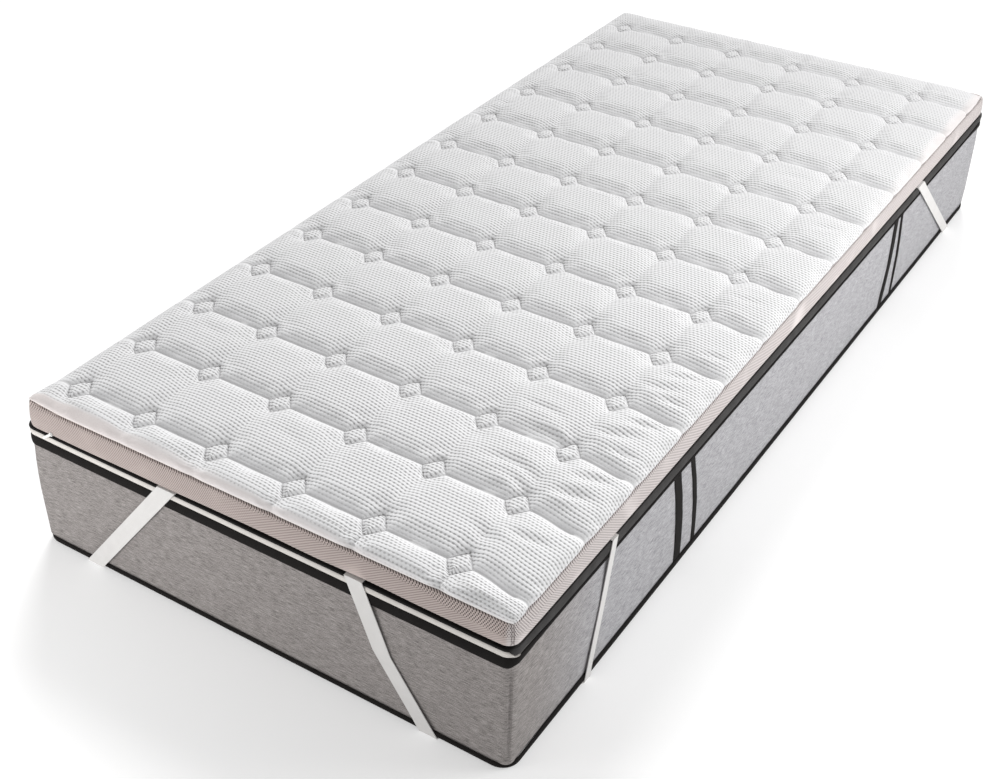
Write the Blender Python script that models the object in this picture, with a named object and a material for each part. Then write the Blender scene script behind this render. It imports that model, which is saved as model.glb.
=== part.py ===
"""A quilted mattress topper, held on a single mattress by four corner straps.

Metres, +Z up. The origin is at the bottom centre of the mattress. The foot end faces -Y.
"""
import math

import bmesh
import bpy
from mathutils import Vector

# Driving dimensions of the mattress
MATTRESS_WIDTH = 0.900
MATTRESS_LENGTH = 2.000
MATTRESS_HEIGHT = 0.235

# Driving dimensions of the topper, which lies a little off the middle of the mattress
TOPPER_WIDTH = 0.896
TOPPER_LENGTH = 1.984
TOPPER_CENTRE = (0.002, -0.008)
TOPPER_CORNER = 0.018
QUILT_CORNER = 0.020
BORDER_HEIGHT = 0.042
QUILT_HEIGHT = 0.0185

# Clearance between neighbouring pieces
GAP = 0.0003

# Steps in a quarter turn of every rounded corner
CORNER_STEPS = 6

# Faces that meet at more than this angle, in degrees, keep a crisp edge
CREASE_ANGLE = 40
QUILT_CREASE_ANGLE = 18

# The mattress from its flat bottom to its slightly crowned top.
# Columns: height, inset from the full width and length, corner radius at no inset
BODY_SECTIONS = (
    (0.0000, 0.0120, 0.028),
    (0.0060, 0.0035, 0.028),
    (0.0118, 0.0033, 0.028),
    (0.0600, 0.0022, 0.024),
    (0.1100, 0.0016, 0.021),
    (0.1550, 0.0022, 0.019),
    (0.1930, 0.0033, 0.018),
    (0.2280, 0.0033, 0.018),
    (0.2300, 0.0080, 0.020),
    (MATTRESS_HEIGHT, 0.0800, 0.095),
)

# Profiles of the tapes that are sewn round the mattress.
# Columns: inset from the full width and length, height on an end face, height on a long side
TOP_TAPE_PROFILE = (
    (0.0030, 0.2280, 0.2135),
    (0.0008, 0.2280, 0.2135),
    (0.0000, 0.2290, 0.2150),
    (0.0000, 0.2320, 0.2315),
    (0.0010, 0.2330, 0.2330),
    (0.0076, 0.2330, 0.2330),
    (0.0076, 0.2304, 0.2304),
    (0.0030, 0.2283, 0.2283),
)
BAND_PROFILE = (
    (0.0030, 0.1960, 0.2030),
    (0.0008, 0.1960, 0.2030),
    (0.0000, 0.1972, 0.2040),
    (0.0000, 0.2158, 0.2120),
    (0.0008, 0.2170, 0.2130),
    (0.0030, 0.2170, 0.2130),
)
BOTTOM_TAPE_PROFILE = (
    (0.0080, 0.0022, 0.0022),
    (0.0030, 0.0022, 0.0022),
    (0.0000, 0.0045, 0.0045),
    (0.0000, 0.0105, 0.0105),
    (0.0008, 0.0115, 0.0115),
    (0.0030, 0.0115, 0.0115),
    (0.0032, 0.0062, 0.0062),
)

# The light piping fills the space between the band and the top tape on the two end faces
PIPING_DEPTH = 0.0030
PIPING_SHOULDER = 0.35
PIPING_TIP = 0.0012

# The corner radius of the tapes and piping of the upper edge, and of the lower one
UPPER_CORNER = 0.018
LOWER_CORNER = 0.028

# A tape goes from its heights on the end face to those on the long side in the later part of the corner,
# from this turn on, and in a run along the long side
TURN_START = 0.5
CORNER_SHARE = 0.55
RUN_OUT = 0.090

# Vertical trim tapes of the long sides. Columns: name, width, place along Y at the top and at the bottom
TRIM_TAPES = (
    ("front_wide", 0.023, -0.514, -0.482),
    ("front_narrow", 0.013, -0.461, -0.424),
    ("rear_wide", 0.021, 0.457, 0.444),
    ("rear_narrow", 0.012, 0.489, 0.507),
)
TRIM_BOTTOM = 0.0118
TRIM_TOP = 0.1997
TRIM_THICKNESS = 0.0010

# Corner straps: elastic, 27 mm wide on the end faces and drawn narrower on the long sides
STRAP_END_WIDTH = 0.027
STRAP_THICKNESS = 0.0012
STRAP_SEWN_END = 0.035
STRAP_SEWN_HEIGHT = 0.2341
STRAP_FLOOR_CLEARANCE = 0.0002
RECESS_DEPTH = 0.0020
RECESS_MARGIN = 0.0030

# Where each strap runs on its end face and on its long side.
# Columns: name, side (+1 is +X), end (+1 is +Y),
# distance from the middle of the end face at the top, halfway and at the bottom,
# distance from the middle of the long side at the top, halfway and at the bottom, width on the long side
STRAPS = (
    ("front_right", 1, -1, 0.193, 0.238, 0.316, 0.726, 0.753, 0.783, 0.0155),
    ("front_left", -1, -1, 0.150, 0.242, 0.334, 0.726, 0.753, 0.783, 0.0155),
    ("rear_right", 1, 1, 0.150, 0.242, 0.334, 0.575, 0.718, 0.861, 0.022),
    ("rear_left", -1, 1, 0.150, 0.242, 0.334, 0.575, 0.718, 0.861, 0.022),
)

# The zip pull hangs askew from the topper's lower seam, near the left corner of the foot end
ZIP_PULL_TOP = (-0.384, 0.2415)
ZIP_PULL_BOTTOM = (-0.411, 0.2200)
ZIP_PULL_WIDTH = 0.0060
ZIP_PULL_THICKNESS = 0.0012

# The topper's side from its lower seam to the seam with the quilt.
# Columns: height above the mattress, inset at the long sides, inset at the ends
BORDER_SECTIONS = (
    (0.0000, 0.0050, 0.0050),
    (0.0040, 0.0012, 0.0012),
    (0.0140, 0.0000, 0.0000),
    (0.0260, 0.0005, 0.0005),
    (0.0370, 0.0015, 0.0020),
    (BORDER_HEIGHT, 0.0025, 0.0040),
)

# Quilting: small stitched diamonds stand where four puffed cells meet. The rows of diamonds lie in deep
# grooves, and the columns between them in shallow valleys
DIAMOND_X = (-0.381, -0.242, -0.098, 0.048, 0.190, 0.332)
DIAMOND_Y = (-0.940, -0.7925, -0.6486, -0.4975, -0.348, -0.202, -0.050,
             0.104, 0.257, 0.414, 0.574, 0.7245, 0.860)
ROW_SKEW = -0.020
DIAMOND_HALF_WIDTH = 0.018
DIAMOND_HALF_LENGTH = 0.020
DIAMOND_RISE = 0.0030
DIAMOND_SHOULDER = 1.5
CELL_STEPS_ACROSS = 3
CELL_STEPS_ALONG = 3
GROOVE_HEIGHT = 0.0060
COLUMN_VALLEY = 0.40
PUFF_REACH = 0.066
DIAMOND_REACH = 1.1
PUFF_POWER = 2.8

# Crossing waves, in radians a metre across and along, make the puffs unevenly high
PUFF_UNEVENNESS = 0.08
PUFF_WAVES = ((37.0, 5.0), (-11.0, 23.0))

# The quilt's rolled edge
EDGE_INSETS = (0.0, 0.007, 0.020, 0.040)
EDGE_HEIGHT = 0.0040
EDGE_ROLL = 0.038
EDGE_OVERHANG = 0.0015

# Finishes of the solids. Columns: name, sRGB colour, roughness
KNIT = ("white_knit", "E9E9EA", 0.9)
MESH = ("spacer_mesh", "C7BCB8", 0.85)
ELASTIC = ("white_elastic", "DCDCDC", 0.75)
MELANGE = ("grey_melange", "A09C9A", 0.9)
BLACK_TAPE = ("black_tape", "242120", 0.8)
PIPING = ("light_piping", "CFCFC9", 0.75)
WHITE_PLASTIC = ("white_plastic", "E4E4E2", 0.45)


def clear_scene():
    for item in list(bpy.data.objects):
        bpy.data.objects.remove(item, do_unlink=True)


def to_linear(hex_colour):
    channels = []
    for start in (0, 2, 4):
        value = int(hex_colour[start:start + 2], 16) / 255
        channels.append(value / 12.92 if value <= 0.04045 else ((value + 0.055) / 1.055) ** 2.4)
    return (*channels, 1.0)


def material(finish):
    name, hex_colour, roughness = finish
    found = bpy.data.materials.get(name)
    if found:
        return found
    made = bpy.data.materials.new(name)
    made.use_nodes = True
    shader = made.node_tree.nodes["Principled BSDF"]
    shader.inputs["Base Color"].default_value = to_linear(hex_colour)
    shader.inputs["Roughness"].default_value = roughness
    shader.inputs["Metallic"].default_value = 0.0
    made.diffuse_color = to_linear(hex_colour)
    return made


def add_object(name, shape, finish, crease_angle=CREASE_ANGLE):
    """Make a named object of a bmesh, with its faces pointing out."""
    bmesh.ops.recalc_face_normals(shape, faces=shape.faces)
    mesh = bpy.data.meshes.new(name)
    shape.to_mesh(mesh)
    shape.free()
    mesh.materials.append(material(finish))
    mesh.shade_smooth()
    mesh.set_sharp_from_angle(angle=math.radians(crease_angle))
    made = bpy.data.objects.new(name, mesh)
    bpy.context.scene.collection.objects.link(made)
    return made


def table_value(table, height, column):
    """Read a column of a table of sections at a height, between its rows."""
    for low, high in zip(table, table[1:]):
        if low[0] <= height <= high[0]:
            share = (height - low[0]) / (high[0] - low[0])
            return low[column] + share * (high[column] - low[column])
    return table[-1][column]


def outline(half_width, half_length, corner, inset_x=0.0, inset_y=0.0, centre=(0.0, 0.0)):
    """Points of a rounded rectangle, and how far each has turned from an end face to a long side.

    The corner radius is that at no inset, so that outlines with other insets stay parallel.
    """
    points = []
    turns = []
    for side, end, start in ((1, 1, 0), (-1, 1, 90), (-1, -1, 180), (1, -1, 270)):
        middle = Vector((side * (half_width - corner), end * (half_length - corner)))
        for step in range(CORNER_STEPS + 1):
            angle = math.radians(start + 90 * step / CORNER_STEPS)
            across = (corner - inset_x) * math.cos(angle)
            along = (corner - inset_y) * math.sin(angle)
            points.append(middle + Vector((across, along)) + Vector(centre))
            turns.append(abs(math.cos(angle)))
    return points, turns


def bridge(rows, closed_loop=True):
    """Join rows of vertices with quads. A closed loop also joins each row's last vertex to its first."""
    shape_faces = []
    for low, high in zip(rows, rows[1:]):
        count = len(low)
        last = count if closed_loop else count - 1
        for index in range(last):
            following = (index + 1) % count
            shape_faces.append((low[index], low[following], high[following], high[index]))
    return shape_faces


def loft(sections):
    """A closed solid through level outlines, each given as (points, height)."""
    shape = bmesh.new()
    rows = [[shape.verts.new((*point, height)) for point in points] for points, height in sections]
    for face in bridge(rows):
        shape.faces.new(face)
    shape.faces.new(list(reversed(rows[0])))
    shape.faces.new(rows[-1])
    return shape


def mattress_outline(inset, corner):
    return outline(MATTRESS_WIDTH / 2, MATTRESS_LENGTH / 2, corner, inset, inset)


def tape_outline(inset, corner):
    """Points along a tape, and for each the share between its heights on an end face and a long side."""
    points, turns = mattress_outline(inset, corner)
    path = []
    for point, turn in zip(points, turns):
        part = min(max((turn - TURN_START) / (1 - TURN_START), 0.0), 1.0)
        place = (point, CORNER_SHARE * part * part * (3 - 2 * part))
        if math.isclose(turn, 1.0):
            further = (point - Vector((0.0, math.copysign(RUN_OUT, point.y))), 1.0)
            path += [further, place] if point.x * point.y > 0 else [place, further]
        else:
            path.append(place)
    return path


def between(ends, share):
    return ends[0] + share * (ends[1] - ends[0])


def make_band(name, profile, corner, finish):
    """A tape sewn round the mattress: its profile is swept round the corners."""
    shape = bmesh.new()
    rows = []
    for inset, *heights in profile:
        path = tape_outline(inset, corner)
        rows.append([shape.verts.new((*point, between(heights, share))) for point, share in path])
    for face in bridge([*rows, rows[0]]):
        shape.faces.new(face)
    return add_object(name, shape, finish)


def make_piping(name, end):
    """Piping across an end face, which wraps round both corners and runs out in thin tips."""
    outer = tape_outline(0.0, UPPER_CORNER)
    inner = tape_outline(PIPING_DEPTH, UPPER_CORNER)
    path = [pair for pair in zip(outer, inner) if pair[0][0].y * end > 0 and pair[0][1] < 1.0]
    path.sort(key=lambda pair: pair[0][0].x)
    band_top = BAND_PROFILE[-1][1:]
    tape_bottom = TOP_TAPE_PROFILE[0][1:]
    shape = bmesh.new()
    stations = []
    for (crown, share), (back, _) in path:
        low = between(band_top, share) + GAP
        high = between(tape_bottom, share) - GAP
        centre = (low + high) / 2
        reach = max((high - low) / 2 * (1 - share / CORNER_SHARE), PIPING_TIP / 2)
        shoulder = crown.lerp(back, PIPING_SHOULDER)
        profile = (
            (back, centre - reach),
            (shoulder, centre - reach),
            (crown, centre - reach / 2),
            (crown, centre + reach / 2),
            (shoulder, centre + reach),
            (back, centre + reach),
        )
        stations.append([shape.verts.new((*point, height)) for point, height in profile])
    for face in bridge(stations):
        shape.faces.new(face)
    shape.faces.new(stations[0])
    shape.faces.new(list(reversed(stations[-1])))
    return add_object(name, shape, PIPING)


def strip_solid(lines, normals, thickness):
    """A flat strip bent over straight edges.

    Each line holds the strip's two edge points on its middle surface, and each normal says which way
    is out there, lengthened at a bend so that the strip keeps its thickness.
    """
    shape = bmesh.new()
    rows = []
    for (left, right), normal in zip(lines, normals):
        offset = normal * (thickness / 2)
        corners = (left - offset, right - offset, right + offset, left + offset)
        rows.append([shape.verts.new(corner) for corner in corners])
    for face in bridge(rows):
        shape.faces.new(face)
    shape.faces.new(rows[0])
    shape.faces.new(list(reversed(rows[-1])))
    return shape


def cut_half_width(width, run, rise):
    """Half of a slanting strap's width, measured level along the face that it lies on."""
    return width / 2 * math.hypot(run, rise) / rise


def face_stations(width, places):
    """Heights, places and half widths of a strap on an upright face, from its top to its bottom."""
    top, halfway, bottom = places
    heights = (STRAP_SEWN_HEIGHT, MATTRESS_HEIGHT / 2, STRAP_FLOOR_CLEARANCE + STRAP_THICKNESS / 2)
    upper = cut_half_width(width, halfway - top, heights[0] - heights[1])
    lower = cut_half_width(width, bottom - halfway, heights[1] - heights[2])
    return list(zip(heights, places, (upper, (upper + lower) / 2, lower)))


def face_reach(proud):
    """How far from the middle a piece stands that lies a little off a long side or an end face."""
    return MATTRESS_WIDTH / 2 + proud, MATTRESS_LENGTH / 2 + proud


def line_on_end(side, end, place, half, reach, height):
    """A level line across a strap on an end face, from its edge nearest the middle."""
    return tuple(Vector((side * (place + part), end * reach, height)) for part in (-half, half))


def line_on_side(side, end, place, half, reach, height):
    """A level line across a strap on a long side, from its edge nearest the middle."""
    return tuple(Vector((side * reach, end * (place + part), height)) for part in (-half, half))


def strap_lines(side, end, end_places, side_places, side_width):
    """The strap's lines from its seam at the end face, under the corner, to its seam at the long side."""
    face_x, face_y = face_reach(GAP + STRAP_THICKNESS / 2)
    seam_x, seam_y = face_reach(-STRAP_SEWN_END)
    up = Vector((0, 0, 1))
    out_x = Vector((side, 0, 0))
    out_y = Vector((0, end, 0))
    down_end = face_stations(STRAP_END_WIDTH, end_places)
    up_side = list(reversed(face_stations(side_width, side_places)))
    top, place, half = down_end[0]
    lines = [line_on_end(side, end, place, half, seam_y, top)]
    lines += [line_on_end(side, end, place, half, face_y, height) for height, place, half in down_end]
    lines += [line_on_side(side, end, place, half, face_x, height) for height, place, half in up_side]
    top, place, half = up_side[-1]
    lines.append(line_on_side(side, end, place, half, seam_x, top))
    normals = (up, up + out_y, out_y, out_y - up, out_x - up, out_x, up + out_x, up)
    return lines, normals


def make_strap(row):
    name, side, end = row[:3]
    lines, normals = strap_lines(side, end, row[3:6], row[6:9], row[9])
    return add_object(f"strap_{name}", strip_solid(lines, normals, STRAP_THICKNESS), ELASTIC)


def recess_cutter(row):
    """A flat prism round the part of a strap that runs under the mattress."""
    name, side, end = row[:3]
    reach_x, reach_y = face_reach(STRAP_THICKNESS)
    _, end_place, end_half = face_stations(STRAP_END_WIDTH, row[3:6])[-1]
    _, side_place, side_half = face_stations(row[9], row[6:9])[-1]
    on_end = line_on_end(side, end, end_place, end_half + RECESS_MARGIN, reach_y, 0)
    on_side = line_on_side(side, end, side_place, side_half + RECESS_MARGIN, reach_x, 0)
    flat = [corner.to_2d() for corner in (*on_end, *reversed(on_side))]
    cutter = add_object(f"recess_{name}", loft([(flat, -RECESS_DEPTH), (flat, RECESS_DEPTH)]), ELASTIC)
    cutter.hide_render = True
    cutter.display_type = "WIRE"
    return cutter


def make_mattress_body():
    sections = [(mattress_outline(inset, corner)[0], height) for height, inset, corner in BODY_SECTIONS]
    body = add_object("mattress_body", loft(sections), MELANGE)
    for row in STRAPS:
        cut = body.modifiers.new(f"recess_{row[0]}", "BOOLEAN")
        cut.operation = "DIFFERENCE"
        cut.solver = "EXACT"
        cut.object = recess_cutter(row)
    return body


def make_trim_tape(row, side):
    """A vertical tape that follows the slight bulge of a long side."""
    name, width, top, bottom = row
    heights = [TRIM_BOTTOM]
    heights += [section[0] for section in BODY_SECTIONS if TRIM_BOTTOM < section[0] < TRIM_TOP]
    heights.append(TRIM_TOP)
    lines = []
    for height in heights:
        share = (height - TRIM_BOTTOM) / (TRIM_TOP - TRIM_BOTTOM)
        place = bottom + share * (top - bottom)
        inset = table_value(BODY_SECTIONS, height, 1)
        reach = side * (MATTRESS_WIDTH / 2 - inset + GAP + TRIM_THICKNESS / 2)
        lines.append((Vector((reach, place - width / 2, height)), Vector((reach, place + width / 2, height))))
    normals = [Vector((side, 0, 0))] * len(lines)
    label = "right" if side > 0 else "left"
    return add_object(f"trim_{label}_{name}", strip_solid(lines, normals, TRIM_THICKNESS), BLACK_TAPE)


def make_zip_pull():
    """A flat tab with round ends, which hangs askew in front of the lower seam."""
    top = Vector(ZIP_PULL_TOP)
    bottom = Vector(ZIP_PULL_BOTTOM)
    heading = math.atan2(top.y - bottom.y, top.x - bottom.x)
    front = -MATTRESS_LENGTH / 2 - GAP
    shape = bmesh.new()
    rows = []
    for depth in (front - ZIP_PULL_THICKNESS, front):
        row = []
        for middle, start in ((top, heading - math.pi / 2), (bottom, heading + math.pi / 2)):
            for step in range(CORNER_STEPS + 1):
                angle = start + math.pi * step / CORNER_STEPS
                reach = Vector((math.cos(angle), math.sin(angle))) * ZIP_PULL_WIDTH / 2
                point = middle + reach
                row.append(shape.verts.new((point.x, depth, point.y)))
        rows.append(row)
    for face in bridge(rows):
        shape.faces.new(face)
    shape.faces.new(rows[0])
    shape.faces.new(list(reversed(rows[1])))
    return add_object("zip_pull", shape, WHITE_PLASTIC)


def make_border():
    """The filled slab under the quilt, with its mesh side a little drawn in at both seams."""
    sections = []
    for height, side_inset, end_inset in BORDER_SECTIONS:
        points, _ = outline(TOPPER_WIDTH / 2, TOPPER_LENGTH / 2, TOPPER_CORNER,
                            side_inset, end_inset, TOPPER_CENTRE)
        sections.append((points, MATTRESS_HEIGHT + GAP + height))
    return add_object("topper_border", loft(sections), MESH)


def cell_lines(places, half_diamond, steps, low_edge, high_edge):
    """Grid lines along one axis: rolled edges, diamonds with their shoulders and steps across the cells."""
    shoulder = DIAMOND_SHOULDER * half_diamond
    lines = [low_edge + inset for inset in EDGE_INSETS if low_edge + inset < places[0] - shoulder]
    for place in places:
        lines += [place - shoulder, place - half_diamond, place, place + half_diamond, place + shoulder]
    for place, following in zip(places, places[1:]):
        first = place + shoulder
        stretch = following - shoulder - first
        lines += [first + stretch * step / steps for step in range(1, steps)]
    last = places[-1] + shoulder
    room = high_edge - EDGE_INSETS[-1] - last
    if room > half_diamond:
        lines.append(last + room / 2)
    lines += [high_edge - inset for inset in EDGE_INSETS if high_edge - inset > last]
    return sorted(lines)


def row_place(row_y, x):
    """A row of diamonds runs slightly askew."""
    return row_y + ROW_SKEW * (x - TOPPER_CENTRE[0])


def puff_curve(distance, reach):
    """Height of a puff over its own valley: steep beside the stitches and flat in the middle."""
    share = min(distance / reach, 1.0)
    return 1 - (1 - share) ** PUFF_POWER


def relief(x, y):
    """Height of the quilted surface over the seam, before its edges roll down."""
    across = min(abs(x - place) for place in DIAMOND_X)
    along = min(abs(y - place) for place in DIAMOND_Y)
    diamond = across / DIAMOND_HALF_WIDTH + along / DIAMOND_HALF_LENGTH
    rows = puff_curve(along, PUFF_REACH)
    columns = 1 - COLUMN_VALLEY * (1 - puff_curve(across, PUFF_REACH))
    corners = puff_curve(max(diamond - 1, 0.0), DIAMOND_REACH)
    wave = math.prod(math.sin(turn_x * x + turn_y * y) for turn_x, turn_y in PUFF_WAVES)
    crown = (QUILT_HEIGHT - GROOVE_HEIGHT) * (1 - PUFF_UNEVENNESS * (1 + wave) / 2)
    stitched = DIAMOND_RISE * max(1 - diamond, 0.0)
    return GROOVE_HEIGHT + stitched + crown * min(rows * columns, corners)


def rolled(height, distance):
    """Roll the surface down to its edge."""
    share = min(max(distance, 0.0) / EDGE_ROLL, 1.0)
    return EDGE_HEIGHT + (height - EDGE_HEIGHT) * math.sqrt(1 - (1 - share) ** 2)


def round_corner(offset, half_width, half_length, corner):
    """Move a point of a plain rectangle to its place in one with round corners."""
    across = max(abs(offset.x) - (half_width - corner), 0.0)
    along = max(abs(offset.y) - (half_length - corner), 0.0)
    if across == 0.0 or along == 0.0:
        return offset
    shrink = max(across, along) / math.hypot(across, along)
    return Vector((
        math.copysign(half_width - corner + across * shrink, offset.x),
        math.copysign(half_length - corner + along * shrink, offset.y),
    ))


def quilt_surface(shape, xs, ys, half_width, half_length):
    """The relief's vertices, row by row."""
    centre = Vector(TOPPER_CENTRE)
    base = MATTRESS_HEIGHT + BORDER_HEIGHT + 2 * GAP
    grid = []
    for y in ys:
        row = []
        for x in xs:
            offset = Vector((x, y)) - centre
            edge = min(half_width - abs(offset.x), half_length - abs(offset.y))
            height = rolled(relief(x, y), edge)
            skew = min(edge / EDGE_ROLL, 1.0)
            askew = Vector((x, y + skew * (row_place(y, x) - y))) - centre
            place = round_corner(askew, half_width, half_length, QUILT_CORNER) + centre
            row.append(shape.verts.new((place.x, place.y, base + height)))
        grid.append(row)
    return grid


def add_grid_faces(shape, grid, xs, ys):
    """Quads, but for those that a diamond's edge crosses, which are cut along it."""
    for j in range(len(ys) - 1):
        for i in range(len(xs) - 1):
            a, b = grid[j][i], grid[j][i + 1]
            d, c = grid[j + 1][i], grid[j + 1][i + 1]
            left = xs[i] in DIAMOND_X
            right = xs[i + 1] in DIAMOND_X
            low = ys[j] in DIAMOND_Y
            high = ys[j + 1] in DIAMOND_Y
            if (left and low) or (right and high):
                shape.faces.new((a, b, d))
                shape.faces.new((b, c, d))
            elif (left and high) or (right and low):
                shape.faces.new((a, b, c))
                shape.faces.new((a, c, d))
            else:
                shape.faces.new((a, b, c, d))


def make_quilt():
    """The quilted top panel with its wadding, on a flat underside."""
    half_width = TOPPER_WIDTH / 2 - BORDER_SECTIONS[-1][1] + EDGE_OVERHANG
    half_length = TOPPER_LENGTH / 2 - BORDER_SECTIONS[-1][2] + EDGE_OVERHANG
    xs = cell_lines(DIAMOND_X, DIAMOND_HALF_WIDTH, CELL_STEPS_ACROSS,
                    TOPPER_CENTRE[0] - half_width, TOPPER_CENTRE[0] + half_width)
    ys = cell_lines(DIAMOND_Y, DIAMOND_HALF_LENGTH, CELL_STEPS_ALONG,
                    TOPPER_CENTRE[1] - half_length, TOPPER_CENTRE[1] + half_length)
    shape = bmesh.new()
    grid = quilt_surface(shape, xs, ys, half_width, half_length)
    add_grid_faces(shape, grid, xs, ys)
    rim = grid[0][:-1]
    rim += [row[-1] for row in grid[:-1]]
    rim += list(reversed(grid[-1][1:]))
    rim += [row[0] for row in reversed(grid[1:])]
    centre = Vector(TOPPER_CENTRE)
    seam = []
    for vertex in rim:
        offset = vertex.co.to_2d() - centre
        shrink = Vector((
            offset.x * (1 - 2 * EDGE_OVERHANG / half_width),
            offset.y * (1 - 2 * EDGE_OVERHANG / half_length),
        ))
        seam.append(shape.verts.new((*(shrink + centre), MATTRESS_HEIGHT + BORDER_HEIGHT + 2 * GAP)))
    for face in bridge([rim, seam]):
        shape.faces.new(face)
    shape.faces.new(seam)
    return add_object("quilt_top", shape, KNIT, crease_angle=QUILT_CREASE_ANGLE)


def main():
    clear_scene()
    make_mattress_body()
    make_band("mattress_top_tape", TOP_TAPE_PROFILE, UPPER_CORNER, BLACK_TAPE)
    make_band("mattress_band", BAND_PROFILE, UPPER_CORNER, BLACK_TAPE)
    make_band("mattress_bottom_tape", BOTTOM_TAPE_PROFILE, LOWER_CORNER, BLACK_TAPE)
    make_piping("mattress_piping_foot", -1)
    make_piping("mattress_piping_head", 1)
    for side in (1, -1):
        for row in TRIM_TAPES:
            make_trim_tape(row, side)
    make_border()
    make_quilt()
    for row in STRAPS:
        make_strap(row)
    make_zip_pull()


main()
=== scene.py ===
"""A quilted mattress topper strapped over a single mattress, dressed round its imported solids.

Metres, +Z up. The foot end faces -Y, and the camera stands off its right corner.
"""
import math

import bpy
import numpy as np
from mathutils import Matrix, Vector, noise


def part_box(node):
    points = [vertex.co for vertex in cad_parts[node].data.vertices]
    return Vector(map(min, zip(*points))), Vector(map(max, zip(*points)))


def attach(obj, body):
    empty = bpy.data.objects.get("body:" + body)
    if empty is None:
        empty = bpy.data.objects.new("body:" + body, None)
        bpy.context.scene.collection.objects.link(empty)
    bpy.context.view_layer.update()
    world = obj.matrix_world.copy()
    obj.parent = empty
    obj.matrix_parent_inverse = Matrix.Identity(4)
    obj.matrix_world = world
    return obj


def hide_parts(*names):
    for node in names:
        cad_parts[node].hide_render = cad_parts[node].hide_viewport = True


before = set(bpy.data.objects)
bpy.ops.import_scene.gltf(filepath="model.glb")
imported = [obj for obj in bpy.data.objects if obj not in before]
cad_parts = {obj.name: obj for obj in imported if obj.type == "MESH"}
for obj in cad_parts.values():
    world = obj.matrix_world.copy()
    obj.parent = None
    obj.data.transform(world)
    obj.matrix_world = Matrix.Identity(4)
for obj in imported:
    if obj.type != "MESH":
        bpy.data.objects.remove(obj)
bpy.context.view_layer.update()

# What the frame gives: lowest and highest corners of the solids that the cloth pieces stand for
BODY_LOW, BODY_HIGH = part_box("mattress_body")
_, TAPE_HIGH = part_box("mattress_top_tape")
_, HEM_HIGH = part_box("mattress_bottom_tape")
SIDE_LOW, SIDE_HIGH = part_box("topper_border")
QUILT_LOW, QUILT_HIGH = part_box("quilt_top")
HALF_WIDTH = TAPE_HIGH.x
HALF_LENGTH = TAPE_HIGH.y

# Clear space between a strap or a tape and the cloth that it lies on
GAP = 0.0003

# Quilting of the top panel: where its stitched diamonds stand, and how the rows run askew
DIAMOND_X = (-0.3845, -0.2455, -0.1015, 0.0445, 0.1865, 0.3285)
DIAMOND_Y = (-0.9375, -0.790, -0.6467, -0.495, -0.346, -0.198, -0.046,
             0.106, 0.261, 0.420, 0.583, 0.733, 0.868)
ROW_SKEW = -0.012
DIAMOND_HALF = (0.0211, 0.0268)
DIAMOND_PARTS = 3
DIAMOND_HEIGHT = 0.0058
DIAMOND_DOME = 0.0010
FIRST_STEPS = (0.005, 0.013)
CELL_STEP = 0.0135
GROOVE_HEIGHT = 0.0050
WALL_HEIGHT = 0.0098
CROWN_HEIGHT = 0.0016
WALL_POWER = 2.4
NEAR_REACH = 0.026
FAR_REACH = 0.018
NEAR_CORNER_REACH = 1.0
FAR_CORNER_REACH = 1.6
COLUMN_VALLEY = 0.34
COLUMN_REACH = 0.040
END_VALLEY = 0.85
END_VALLEY_REACH = 0.020
PUFF_MARGIN = 0.06
KNIT_TAKE_UP = 1.10

# The panel's edge, rolled down to its seam.
# Columns: inset from the edge, share of the height, place in the flat cut
PANEL_EDGE = (
    (0.0030, 0.05, -0.0110),
    (0.0008, 0.30, -0.0075),
    (0.0014, 0.58, -0.0035),
    (0.0050, 0.84, 0.0020),
    (0.0120, 0.97, 0.0110),
    (0.0200, 1.00, 0.0210),
)

# At the head end the filling thins out, and the panel's edge rolls down from further in
HEAD_EDGE = (
    (0.0045, 0.05, -0.0010),
    (0.0060, 0.26, 0.0025),
    (0.0120, 0.46, 0.0100),
    (0.0230, 0.68, 0.0220),
    (0.0380, 0.88, 0.0375),
    (0.0560, 1.00, 0.0560),
)

# Along the left side it rolls down from further in too, and is drawn in towards the foot end
LEFT_EDGE = (
    (0.0045, 0.05, -0.0010),
    (0.0055, 0.26, 0.0025),
    (0.0090, 0.46, 0.0080),
    (0.0150, 0.68, 0.0150),
    (0.0230, 0.88, 0.0230),
    (0.0320, 1.00, 0.0320),
)
PANEL_DRAWN_IN = 0.0060
SIDE_DRAWN_IN = 0.0040
DRAWN_IN_FROM = -0.404

# Near the left side and the head end the quilting is shallow: how far in, and the share that is lost
SHALLOW_REACH = 0.055
SHALLOW_SHARE = 0.80

# From the last diamonds to the right edge the rows bend towards the foot end: how far in, places, how much
ROW_BEND_REACH = 0.10
ROW_BEND_PLACES = (-0.9975, -0.9375, -0.79, -0.40, 0.868, 0.9815)
ROW_BEND = (0.0, -0.018, -0.016, -0.012, -0.009, 0.0)

# At the left front corner the mesh strip stands taller, and at the right rear one the filling gives out
CORNER_RISE = 0.0060
CORNER_RISE_REACH = 0.085
CORNER_FALL = 0.60
CORNER_FALL_REACH = 0.040
CORNER_FALL_PULL = 0.005
PANEL_CORNER = 0.013
EDGE_HELD = 0.5

# Where a valley meets the foot seam or a row meets the right one, the stitches draw the roll in
EDGE_NOTCH = 0.0060
ROLL_REACH = 0.03
ROW_NOTCH_WIDTH = 0.010
VALLEY_NOTCH_WIDTH = 0.012
ROW_NOTCH_DROP = 0.0025
VALLEY_NOTCH_DROP = 0.0030

# The diamonds' stitching is followed this far out by the map of the seams
SEAM_MAP_REACH = 0.05

# At the foot the topper's lower seam lifts off the mattress in soft waves, and hangs over it at the left
LOWER_SEAM_LIFT = 0.0045
LOWER_SEAM_HANG = 0.0012

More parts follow.
